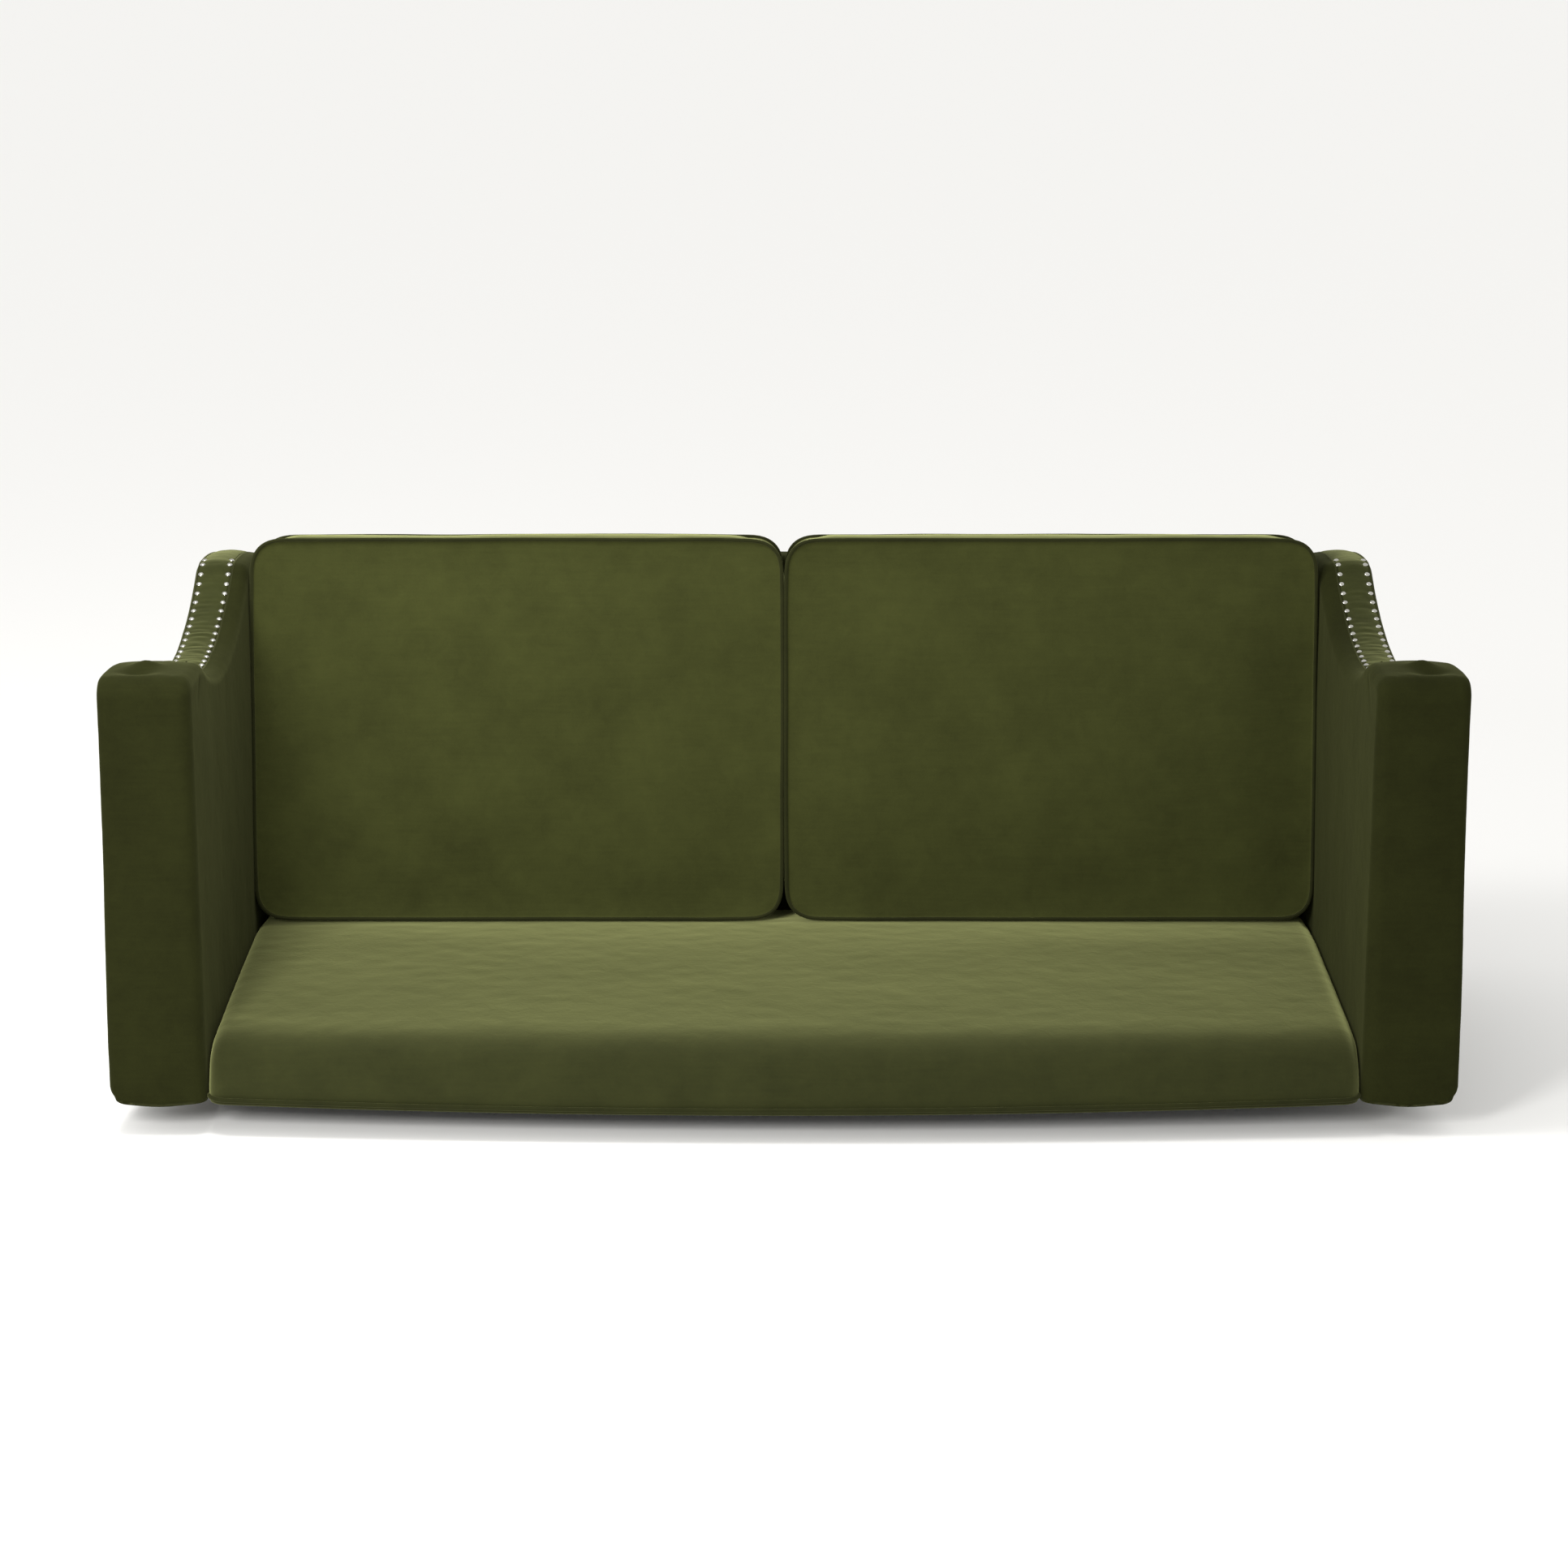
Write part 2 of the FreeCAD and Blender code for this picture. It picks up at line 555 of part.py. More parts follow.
foot_rows = ("dims.foot_front", "dims.foot_back")
foot_columns = ("0 - dims.foot_x", "0", "dims.foot_x")
boards = []
feet = []
glides = []
hangers = []
hanger_holes = []
for i, y in enumerate(foot_rows):
    half = "dims.foot_board_width / 2"
    boards.append(block(f"FootBoard{i}", inside, (f"{y} - {half}", f"{y} + {half}"),
                        ("dims.frame_low", "dims.frame_low + dims.foot_board")))
    for k, x in enumerate(foot_columns):
        tag = f"{i}{k}"
        cone = doc.addObject("Part::Cone", "FootCone" + tag)
        bind(cone, Radius1="dims.foot_low_r", Radius2="dims.foot_top_r", Height="dims.base - dims.glide")
        feet.append(place(cone, x, y, "dims.glide"))
        glides.append(rod("Glide" + tag, "dims.foot_low_r - 3", "dims.glide", x, y, "0"))
        sunk = "dims.base - dims.hanger_sink"
        hangers.append(rod("Hanger" + tag, "dims.bolt_r", "dims.hanger_long", x, y, sunk))
        hanger_holes.append(rod("HangerHole" + tag, "dims.bolt_r + dims.bolt_room", "dims.hanger_long + 1",
                                x, y, f"{sunk} - 0.5"))
bores = group("HangerHoles", hanger_holes)
keep(minus("FootBoards", group("FootBoardsWhole", boards), bores), "foot_boards")
keep(minus("Feet", group("FeetWhole", feet), bores), "feet")
keep(group("Glides", glides), "foot_glides")
keep(group("Hangers", hangers), "foot_hanger_bolts")
dust_sheet = block("DustSheet", frame_x, ("dims.frame_front", "dims.arm_rear - 4"),
                   ("dims.base + 1.5", "dims.base + 2.5"))
keep(minus("DustCover", dust_sheet, bores), "dust_cover")


def seat_springs():
    """Zigzag springs of six-sided wire that run from the front rail to the rear rail."""
    bend = num("dims.spring_bend")
    run = num("dims.spring_run")
    level = num("dims.frame_top + dims.wire / 2 + 0.2")
    start = num("dims.frame_front + 10")
    stop = num("dims.frame_rear - 10")
    turns = int((stop - start) / (2 * bend))
    bend = (stop - start) / turns / 2
    edges = []
    side = 1
    y = start
    for i in range(turns):
        ahead = FreeCAD.Vector(side * run, y, level)
        beyond = FreeCAD.Vector(side * run, y + 2 * bend, level)
        tip = FreeCAD.Vector(side * (run + bend), y + bend, level)
        edges.append(Part.LineSegment(FreeCAD.Vector(-side * run, y, level), ahead).toShape())
        edges.append(Part.Arc(ahead, tip, beyond).toShape())
        y += 2 * bend
        side = -side
    last = FreeCAD.Vector(-side * run, y, level)
    edges.append(Part.LineSegment(last, FreeCAD.Vector(side * run, y, level)).toShape())
    path = Part.Wire(edges)
    first = FreeCAD.Vector(-run, start, level)
    corners = []
    for k in range(7):
        turn = math.radians(60 * k)
        corners.append(first + FreeCAD.Vector(0, math.cos(turn), math.sin(turn)) * num("dims.wire / 2"))
    spring = path.makePipeShell([Part.makePolygon(corners)], True, False)
    pitch = num("dims.spring_pitch")
    springs = []
    for i in range(8):
        copy = spring.copy()
        copy.translate(FreeCAD.Vector((i - 3.5) * pitch, 0, 0))
        springs.append(copy)
    item = doc.addObject("Part::Feature", "SeatSprings")
    item.Shape = Part.makeCompound(springs)
    return item


keep(seat_springs(), "seat_springs")
clips = []
for i in range(8):
    x = f"({i} - 3.5) * dims.spring_pitch"
    for k, y in enumerate(("dims.frame_front + 3", "dims.frame_rear - 7.5")):
        clips.append(block(f"Clip{i}{k}", (f"{x} - 9", f"{x} + 9"), (y, f"{y} + 4.5"),
                           ("dims.frame_top", "dims.frame_top + dims.wire + 1.5")))
keep(group("SpringClips", clips), "spring_clips")
keep(block("SeatInsulator", frame_x, ("dims.frame_front + 2", "dims.frame_rear - 2"),
           ("dims.frame_top + dims.wire + 2", "dims.foam_low - 0.3")), "seat_insulator")


def seat_welt():
    """Corded welt along the lower front of the seat."""
    radius = num("dims.welt / 2")
    reach = num("dims.seat_half - 6")
    bend = num("dims.bow_radius") + radius + 0.1
    centre_y = num("dims.seat_front + dims.bow_radius")
    level = num("dims.welt_z")
    side_y = centre_y - math.sqrt(bend ** 2 - reach ** 2)
    ends = [FreeCAD.Vector(s * reach, side_y, level) for s in (-1, 1)]
    arc = Part.Arc(ends[0], FreeCAD.Vector(0, centre_y - bend, level), ends[1]).toShape()
    ring = Part.Wire(Part.makeCircle(radius, ends[0], arc.tangentAt(arc.FirstParameter)))
    item = doc.addObject("Part::Feature", "SeatWelt")
    item.Shape = Part.Wire(arc).makePipeShell([ring], True, False)
    return item


keep(seat_welt(), "seat_front_welt")

# ---- back --------------------------------------------------------------------

lean = "tan(dims.recline)"


def back_profile(inset, low, top, fall="0"):
    """The back seen from its side; only the front and the top move inwards."""
    foot = f"dims.back_front + {inset}"
    return [
        (foot, low),
        ("dims.arm_rear - 0.2", low),
        ("dims.arm_rear - 0.2", f"{top} - {fall}"),
        (f"{foot} + ({top} - dims.recline_z) * {lean}", top),
        (foot, "dims.recline_z"),
    ]


def back_block(name, inset, half, top, low="dims.frame_top + 2", roll="dims.back_roll"):
    side = back_profile(inset, low, top, "dims.back_fall")
    body, pad = padded(name, "YZ_Plane", side, f"2 * ({half})", "0", True)
    level = num(top)

    def top_front(middle, upright):
        return abs(middle.x) < 1 and abs(middle.z - level) < 1 and middle.y < 440

    rounded(body, pad, name + "Roll", roll, top_front)
    return body


back_outside = back_block("BackOutside", "0", "dims.back_half", "dims.back_top")
back_lining = back_block("BackLining", "dims.velvet", "dims.back_half - dims.velvet",
                         "dims.back_top - dims.velvet", "dims.base - 10", "dims.back_roll - dims.velvet")
rear_room = block("BackRearRoom", ("0 - dims.back_half + dims.velvet", "dims.back_half - dims.velvet"),
                  ("dims.arm_rear - 20", "dims.arm_rear + 20"),
                  ("dims.base - 10", "dims.back_top - dims.back_fall - dims.velvet"))
keep(minus("BackCover", minus("BackSkin", back_outside, back_lining), rear_room), "back_cover")

pad_inset = "(dims.velvet + dims.gap)"
back_foam_solid = back_block("BackFoamSolid", pad_inset, f"dims.back_half - {pad_inset}",
                             f"dims.back_top - {pad_inset}", "dims.frame_top + 3",
                             f"dims.back_roll - {pad_inset}")
back_room_side = back_profile("dims.back_pad", "dims.base - 10", "dims.top_rail_z + 2")
back_room = padded("BackRoom", "YZ_Plane", back_room_side, "2 * dims.frame_half + 16", "0", True)[0]
rear_slot = block("BackRearSlot", ("0 - dims.frame_half - 8", "dims.frame_half + 8"),
                  ("dims.arm_rear - 10", "dims.arm_rear + 10"), ("dims.base - 10", "dims.top_rail_z + 2"))
keep(minus("BackPadding", minus("BackFoamTray", back_foam_solid, back_room), rear_slot), "back_padding")

upright_inset = "(dims.back_pad + dims.strap_thick + 0.6)"
upright_columns = ("0 - dims.frame_half", "0 - dims.frame_half / 2", "0 - dims.upright / 2",
                   "dims.frame_half / 2 - dims.upright", "dims.frame_half - dims.upright")
upright_side = back_profile(upright_inset, "dims.frame_top", "dims.upright_top")
uprights = [
    padded(f"Upright{i}", "YZ_Plane", upright_side, "dims.upright", x)[0]
    for i, x in enumerate(upright_columns)
]
keep(group("Uprights", uprights), "back_uprights")
rail_front = f"dims.back_front + {upright_inset} + (dims.top_rail_z - dims.recline_z) * {lean} + 2"
keep(block("TopRail", frame_x, (rail_front, "dims.arm_rear - 1"), ("dims.upright_top", "dims.top_rail_z")),
     "back_top_rail")

straps = []
for i in range(5):
    along = f"(110 + {i} * 100)"
    item = doc.addObject("Part::Box", f"Strap{i}")
    bind(item, Length="2 * dims.frame_half - 4", Width="dims.strap_thick", Height="dims.strap")
    item.Placement.Rotation = FreeCAD.Rotation(FreeCAD.Vector(1, 0, 0), -num("dims.recline"))
    straps.append(place(item, "2 - dims.frame_half",
                        f"dims.back_front + dims.back_pad + 0.3 + {along} * {lean}",
                        f"dims.recline_z + {along}"))
keep(group("BackStraps", straps), "back_webbing")
keep(block("OutsideBack", ("0 - dims.outside_half", "dims.outside_half"),
           ("dims.arm_rear + 0.2", "dims.arm_rear + 0.2 + dims.outside_thick"),
           ("dims.base + 5", "dims.back_top - dims.back_fall - 12")), "outside_back_panel")

# ---- back cushions -----------------------------------------------------------

stand = FreeCAD.Rotation(FreeCAD.Vector(1, 0, 0), 90 - num("dims.recline"))


def stood(item, side, across="0", up="0", out="0"):
    """Stand a piece made flat on XY against the back: its +Y goes up, its +Z forward."""
    item.Placement.Rotation = stand
    return place(item, f"{side} * dims.cushion_x + {across}",
                 f"dims.cushion_y + ({up}) * sin(dims.recline) - ({out}) * cos(dims.recline)",
                 f"dims.cushion_z + ({up}) * cos(dims.recline) + ({out}) * sin(dims.recline)")


def cushion_block(name, side, inset):
    """A box cushion with rounded corners, moved inwards by an inset."""
    half = f"(dims.cushion_width / 2 - {inset})"
    top = f"(dims.cushion_height - {inset})"
    corners = [(f"0 - {half}", inset), (half, inset), (half, top), (f"0 - {half}", top)]
    body, pad = padded(name, "XY_Plane", corners, f"dims.cushion_thick - 2 * {inset}", inset)
    turned = rounded(body, pad, name + "Corners", f"dims.corner - {inset}", lambda middle, upright: upright)
    low = num(inset)
    high = num(f"dims.cushion_thick - {inset}")

    def rim(middle, upright):
        return not upright and (abs(middle.z - low) < 0.1 or abs(middle.z - high) < 0.1)

    rounded(body, turned, name + "Rims", f"dims.cushion_edge - {inset}", rim)
    return stood(body, side)


def piping_loop(name, side, depth):
    """A corded welt round a cushion, just outside the rounded edge of its face."""
    radius = num("dims.piping / 2")
    edge = num("dims.cushion_edge")
    clear = (radius + 0.1 + edge) / math.sqrt(2) - edge
    half = num("dims.cushion_width / 2") + clear
    low = -clear
    top = num("dims.cushion_height") + clear
    bend = num("dims.corner") + clear
    z = depth + (clear if depth > 50 else -clear)
    quarter = bend * (1 - math.sqrt(0.5))
    marks = [((half, low), (-1, 0), (0, 1)), ((half, top), (0, -1), (-1, 0)),
             ((-half, top), (1, 0), (0, -1)), ((-half, low), (0, 1), (1, 0))]
    edges = []
    last = None
    for (x, y), into, away in marks:
        begin = FreeCAD.Vector(x + into[0] * bend, y + into[1] * bend, z)
        finish = FreeCAD.Vector(x + away[0] * bend, y + away[1] * bend, z)
        knee = FreeCAD.Vector(x + (into[0] + away[0]) * quarter, y + (into[1] + away[1]) * quarter, z)
        if last:
            edges.append(Part.LineSegment(last, begin).toShape())
        else:
            opening = begin
        edges.append(Part.Arc(begin, knee, finish).toShape())
        last = finish
    edges.append(Part.LineSegment(last, opening).toShape())
    ring = Part.Wire(Part.makeCircle(radius, opening, FreeCAD.Vector(1, 0, 0)))
    item = doc.addObject("Part::Feature", name)
    item.Shape = Part.Wire(edges).makePipeShell([ring], True, False)
    return stood(item, side)


for word, side in (("left", "-1"), ("right", "1")):
    tag = word.capitalize()
    cushion = cushion_block("Cushion" + tag, side, "0")
    lining = cushion_block("CushionLining" + tag, side, "2")
    keep(minus("CushionCover" + tag, cushion, lining), word + "_cushion_cover")
    keep(cushion_block("CushionInsert" + tag, side, "2.3"), word + "_cushion_insert")
    keep(piping_loop("FrontWelt" + tag, side, num("dims.cushion_thick")), word + "_cushion_front_welt")
    keep(piping_loop("RearWelt" + tag, side, 0), word + "_cushion_rear_welt")
    middle = "dims.cushion_thick / 2"
    chain = doc.addObject("Part::Box", "Zip" + tag)
    bind(chain, Length="dims.zip_length", Width="dims.zip_thick", Height="dims.zip_width")
    stood(chain, side, "0 - dims.zip_length / 2", "0 - dims.zip_thick - 0.1",
          f"{middle} - dims.zip_width / 2")
    keep(chain, word + "_cushion_zip")
    slider = doc.addObject("Part::Box", "ZipSlider" + tag)
    bind(slider, Length="dims.slider_long", Width="dims.slider_high", Height="dims.zip_width + 2")
    stood(slider, side, "0 - dims.zip_length / 2 + 8", "0 - dims.zip_thick - dims.slider_high - 0.4",
          f"{middle} - dims.zip_width / 2 - 1")
    keep(slider, word + "_zip_slider")

# ---- check and write ---------------------------------------------------------

doc.recompute()
for item in doc.Objects:
    if "Invalid" in item.State or "Error" in item.State:
        raise RuntimeError(f"{item.Label} failed: {item.State}")
for item in nodes:
    if item.Shape.isNull() or not item.Shape.isValid() or not item.Shape.Solids:
        raise RuntimeError(f"{item.Label} has no valid shape")

os.makedirs("parts", exist_ok=True)
for item in nodes:
    item.Shape.exportStep(f"parts/{item.Label}.step")
    box = item.Shape.BoundBox
    low = (round(box.XMin, 1), round(box.YMin, 1), round(box.ZMin, 1))
    high = (round(box.XMax, 1), round(box.YMax, 1), round(box.ZMax, 1))
    volume = round(item.Shape.Volume / 1000, 1)
    print(item.Label, len(item.Shape.Solids), "solids", volume, "cm3", low, high)
whole = Part.makeCompound([item.Shape for item in nodes]).BoundBox
print(len(nodes), "nodes, overall", whole)
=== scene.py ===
import math

import bmesh
import bpy
import numpy as np
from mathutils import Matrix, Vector, noise


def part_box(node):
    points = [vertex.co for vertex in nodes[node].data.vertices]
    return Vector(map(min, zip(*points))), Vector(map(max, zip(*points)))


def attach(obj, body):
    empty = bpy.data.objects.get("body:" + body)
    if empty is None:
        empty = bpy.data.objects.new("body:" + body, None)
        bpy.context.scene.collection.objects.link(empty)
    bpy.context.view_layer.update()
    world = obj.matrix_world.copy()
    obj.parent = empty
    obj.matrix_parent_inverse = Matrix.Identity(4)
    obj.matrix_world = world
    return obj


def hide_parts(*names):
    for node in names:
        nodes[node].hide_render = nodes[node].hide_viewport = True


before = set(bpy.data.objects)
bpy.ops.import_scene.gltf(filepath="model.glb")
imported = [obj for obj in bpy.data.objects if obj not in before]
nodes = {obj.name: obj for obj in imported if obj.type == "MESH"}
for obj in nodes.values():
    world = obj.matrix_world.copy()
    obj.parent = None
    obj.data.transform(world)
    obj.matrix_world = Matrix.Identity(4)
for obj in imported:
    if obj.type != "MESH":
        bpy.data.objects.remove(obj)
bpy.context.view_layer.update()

print("frame loaded,", len(nodes), "nodes")


def mm(value):
    return value / 1000.0


def linearColor(hexText):
    parts = [int(hexText[i:i + 2], 16) / 255.0 for i in (1, 3, 5)]
    linear = [p / 12.92 if p <= 0.04045 else ((p + 0.055) / 1.055) ** 2.4 for p in parts]
    return (linear[0], linear[1], linear[2], 1.0)


def smoothStep(low, high, value):
    t = np.clip((np.asarray(value, float) - low) / (high - low), 0.0, 1.0)
    return t * t * (3.0 - 2.0 * t)


# mesh helpers: every soft piece is a quad grid, so its seams keep their rows

def gridFaces(rows, columns, start=0, closed=False, flip=False):
    faces = []
    last = columns if closed else columns - 1
    for i in range(rows - 1):
        for j in range(last):
            k = (j + 1) % columns
            face = (start + i * columns + j, start + i * columns + k,
                    start + (i + 1) * columns + k, start + (i + 1) * columns + j)
            faces.append(face[::-1] if flip else face)
    return faces


def addPiece(name, points, faces, body, material):
    mesh = bpy.data.meshes.new(name)
    mesh.from_pydata([tuple(p) for p in points], [], faces)
    mesh.update()
    piece = bpy.data.objects.new(name, mesh)
    bpy.context.scene.collection.objects.link(piece)
    mesh.polygons.foreach_set("use_smooth", [True] * len(mesh.polygons))
    mesh.materials.append(material)
    if body:
        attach(piece, body)
    return piece


def welded(piece, distance=mm(0.05)):
    work = bmesh.new()
    work.from_mesh(piece.data)
    bmesh.ops.remove_doubles(work, verts=work.verts, dist=distance)
    bmesh.ops.dissolve_degenerate(work, edges=work.edges, dist=distance / 2)
    bmesh.ops.recalc_face_normals(work, faces=work.faces)
    work.to_mesh(piece.data)
    work.free()
    piece.data.update()


def positions(piece):
    flat = np.empty(len(piece.data.vertices) * 3, np.float32)
    piece.data.vertices.foreach_get("co", flat)
    return flat.reshape(-1, 3).astype(float)


def setPositions(piece, points):
    piece.data.vertices.foreach_set("co", np.asarray(points, np.float32).ravel())
    piece.data.update()


def normals(piece):
    return np.array([tuple(n.vector) for n in piece.data.vertex_normals])


def pushOut(piece, amount):
    setPositions(piece, positions(piece) + normals(piece) * np.asarray(amount)[:, None])


def ripple(points, size, seed):
    # smooth noise from -1 to 1 whose features are about one size across
    shift = Vector((seed * 17.3, seed * 5.1, seed * 9.7))
    return np.array([noise.noise(Vector(p) / size + shift) for p in points])


def crease(points, start, stop, width):
    # 1 on the line from start to stop, fading across it and towards both ends
    a = np.array(start)
    run = np.array(stop) - a
    along = np.clip(((points - a) @ run) / (run @ run), -0.2, 1.2)
    away = np.linalg.norm(points - (a + along[:, None] * run), axis=1)
    ends = smoothStep(-0.2, 0.25, along) * (1.0 - smoothStep(0.6, 1.2, along))
    return np.exp(-(away / width) ** 2) * ends


def tubeAlong(name, path, radius, closed, body, material, sides=10):
    # a round cord along a line of points, turned little by little so that it never twists
    path = np.asarray(path, float)
    count = len(path)
    ahead = np.roll(path, -1, axis=0)
    behind = np.roll(path, 1, axis=0)
    if not closed:
        ahead[-1] = path[-1]
        behind[0] = path[0]
    tangent = ahead - behind
    tangent /= np.linalg.norm(tangent, axis=1)[:, None]
    up = np.array((0.0, 0.0, 1.0))
    if abs(tangent[0] @ up) > 0.9:
        up = np.array((0.0, 1.0, 0.0))
    points = []
    for i in range(count):
        up = up - tangent[i] * (tangent[i] @ up)
        up /= np.linalg.norm(up)
        side = np.cross(tangent[i], up)
        for k in range(sides):
            angle = 2.0 * math.pi * k / sides
            points.append(path[i] + (up * math.cos(angle) + side * math.sin(angle)) * radius)
    faces = gridFaces(count, sides, closed=True)
    if closed:
        # the last ring may have turned against the first, so the rings are matched up
        ring = [np.linalg.norm(points[(count - 1) * sides] - points[k]) for k in range(sides)]
        turn = int(np.argmin(ring))
        for k in range(sides):
            base = (count - 1) * sides
            faces.append((base + k, base + (k + 1) % sides, (k + 1 + turn) % sides, (k + turn) % sides))
    else:
        faces.append(tuple(range(sides))[::-1])
        faces.append(tuple((count - 1) * sides + k for k in range(sides)))
    piece = addPiece(name, points, faces, body, material)
    welded(piece, mm(0.01))
    return piece


# materials

def addNode(material, kind, settings=None, links=None):
    node = material.node_tree.nodes.new(kind)
    for name, value in (settings or {}).items():
        if isinstance(name, str) and hasattr(node, name):
            setattr(node, name, value)
        else:
            node.inputs[name].default_value = value
    for name, socket in (links or {}).items():
        material.node_tree.links.new(socket, node.inputs[name])
    return node


def newMaterial(name):
    material = bpy.data.materials.new(name)
    material.use_nodes = True
    material.node_tree.nodes.clear()
    return material


def finishMaterial(material, shader):
    addNode(material, "ShaderNodeOutputMaterial", links={"Surface": shader.outputs[0]})
    return material


def addNoise(material, where, sizeMm, detail, roughness=0.5, distortion=0.0):
    settings = {"Scale": 1000.0 / sizeMm, "Detail": detail, "Roughness": roughness, "Distortion": distortion}
    return addNode(material, "ShaderNodeTexNoise", settings, {"Vector": where})


def addBlend(material, share, first, second):
    return addNode(material, "ShaderNodeMix", {"data_type": "FLOAT", 0: share}, {2: first, 3: second})


def addRamp(material, source, colors, low=0.0, high=1.0):
    ramp = addNode(material, "ShaderNodeValToRGB", links={0: source})
    for stop, place, color in zip(ramp.color_ramp.elements, (low, high), colors):
        stop.position = place
        stop.color = linearColor(color)
    return ramp


def addBump(material, strength, depth, height, below=None):
    links = {"Height": height}
    if below:
        links["Normal"] = below
    return addNode(material, "ShaderNodeBump", {"Strength": strength, "Distance": depth}, links)


velvetLook = {
    "pile": "#282a11",          # colour down in the pile
    "pileLight": "#383b1b",     # colour where the nap lies towards the eye
    "sheen": "#b6ba7c",         # light caught by the tips of the pile
    "sheenWeight": 0.7,
    "sheenRoughness": 0.4,
    "gloss": 0.06,
    "roughness": 0.92,
    "darkBelow": 0.28,          # share of the nap's noise that stays in the dark colour
    "lightAbove": 0.76,         # and where the light colour is full
    "patchMm": 110.0,           # broad shading left by hands and brushing
    "streakMm": 26.0,           # softer marks inside a patch
    "pileMm": 3.2,              # pile tufts; real ones are 0.3 mm, drawn coarser so that they show
    "weaveMm": 5.0,             # rows of the ground weave, a few real rows drawn as one
}


def cottonVelvet(name, changes=None):
    # woven cotton velvet: a dark matt pile whose tips catch light at a slant,
    # with cloudy patches where the nap lies over
    look = dict(velvetLook, **(changes or {}))
    material = newMaterial(name)
    where = addNode(material, "ShaderNodeTexCoord").outputs["Object"]
    patch = addNoise(material, where, look["patchMm"], 3.0, 0.55)
    streak = addNoise(material, where, look["streakMm"], 4.0, 0.6, 0.6)
    tuft = addNoise(material, where, look["pileMm"], 2.0, 0.7)
    rowsLie = addNode(material, "ShaderNodeMapping", {"Scale": (0.06, 1.0, 1.0)}, {"Vector": where})
    rows = addNoise(material, rowsLie.outputs[0], look["weaveMm"], 1.0)
    clouds = addBlend(material, 0.35, patch.outputs[0], streak.outputs[0])
    fine = addBlend(material, 0.4, tuft.outputs[0], rows.outputs[0])
    nap = addBlend(material, 0.3, clouds.outputs[0], fine.outputs[0])
    softSource = streak
    if "crushedAt" in look:
        # a spot where the nap was pressed into small scattered marks
        offset = addNode(material, "ShaderNodeVectorMath",
                         {"operation": "DISTANCE", 1: look["crushedAt"]}, {0: where})
        marks = addNoise(material, where, look["markMm"], 3.0, 0.6, 1.2)
        spread = addNode(material, "ShaderNodeMapRange",
                         {1: look["crushedCore"], 2: look["crushedReach"], 3: look["crushedShare"], 4: 0.0},
                         {0: offset.outputs[1]})
        mixed = []
        for smooth in (nap, streak):
            mixed.append(addNode(material, "ShaderNodeMix", {"data_type": "FLOAT"},
                                 {0: spread.outputs[0], 2: smooth.outputs[0], 3: marks.outputs[0]}))
        nap, softSource = mixed
    ramp = addRamp(material, nap.outputs[0], (look["pile"], look["pileLight"]),
                   look["darkBelow"], look["lightAbove"])
    bump = addBump(material, 0.3, mm(0.5), fine.outputs[0])
    softBump = addBump(material, 0.35, mm(1.6), softSource.outputs[0], bump.outputs[0])
    shader = addNode(material, "ShaderNodeBsdfPrincipled", {
        "Roughness": look["roughness"], "Specular IOR Level": look["gloss"],
        "Sheen Weight": look["sheenWeight"], "Sheen Roughness": look["sheenRoughness"],
        "Sheen Tint": linearColor(look["sheen"]),
    }, {"Base Color": ramp.outputs[0], "Normal": softBump.outputs[0]})
    return finishMaterial(material, shader)


def twoToneFinish(name, colors, roughness, grainMm, stretch=(1.0, 1.0, 1.0), metallic=0.0, bumpMm=0.1):
    # one noise in two close tones, stretched along the grain where the stuff has one
    material = newMaterial(name)
    where = addNode(material, "ShaderNodeTexCoord").outputs["Object"]
    lay = addNode(material, "ShaderNodeMapping", {"Scale": stretch}, {"Vector": where})
    grain = addNoise(material, lay.outputs[0], grainMm, 6.0, 0.6)
    ramp = addRamp(material, grain.outputs[0], colors, 0.3, 0.7)
    bump = addBump(material, 0.4, mm(bumpMm), grain.outputs[0])
    shader = addNode(material, "ShaderNodeBsdfPrincipled", {"Roughness": roughness, "Metallic": metallic},
                     {"Base Color": ramp.outputs[0], "Normal": bump.outputs[0]})
    return finishMaterial(material, shader)


def wovenFinish(name, colors, roughness, threadMm):
    # two crossing sets of threads, drawn as two bands of waves
    material = newMaterial(name)
    where = addNode(material, "ShaderNodeTexCoord").outputs["Object"]
    waves = []
    for direction in ("X", "Z"):
        waves.append(addNode(material, "ShaderNodeTexWave", {
            "bands_direction": direction, "Scale": 1000.0 / threadMm / 20.0, "Distortion": 0.8, "Detail": 2.0,
        }, {"Vector": where}))
    cross = addBlend(material, 0.5, waves[0].outputs[1], waves[1].outputs[1])
    ramp = addRamp(material, cross.outputs[0], colors)
    bump = addBump(material, 0.5, mm(0.3), cross.outputs[0])
    shader = addNode(material, "ShaderNodeBsdfPrincipled", {"Roughness": roughness},
                     {"Base Color": ramp.outputs[0], "Normal": bump.outputs[0]})
    return finishMaterial(material, shader)


# one cloth, painted in lit and shaded copies: darker and duller on the arms and back as painted shade, with a
# brighter sheen tint on the seat as painted light
# cushions: mid green with a soft glow where the pile turns away
cushionVelvet = cottonVelvet("oliveCottonVelvet")
# arms, back and outside back: a deeper, duller copy of the cloth, painted shade
armVelvet = cottonVelvet("oliveVelvetPaintedShade", {
    "pile": "#191a0a", "pileLight": "#242610", "sheenWeight": 0.12, "gloss": 0.02,
})
# bands: a copy painted darker than the cushions, between the two, as painted shade
bandVelvet = cottonVelvet("oliveVelvetBandPaintedShade", {"pile": "#1d1f0c", "pileLight": "#2f3216", "sheenWeight": 0.45})
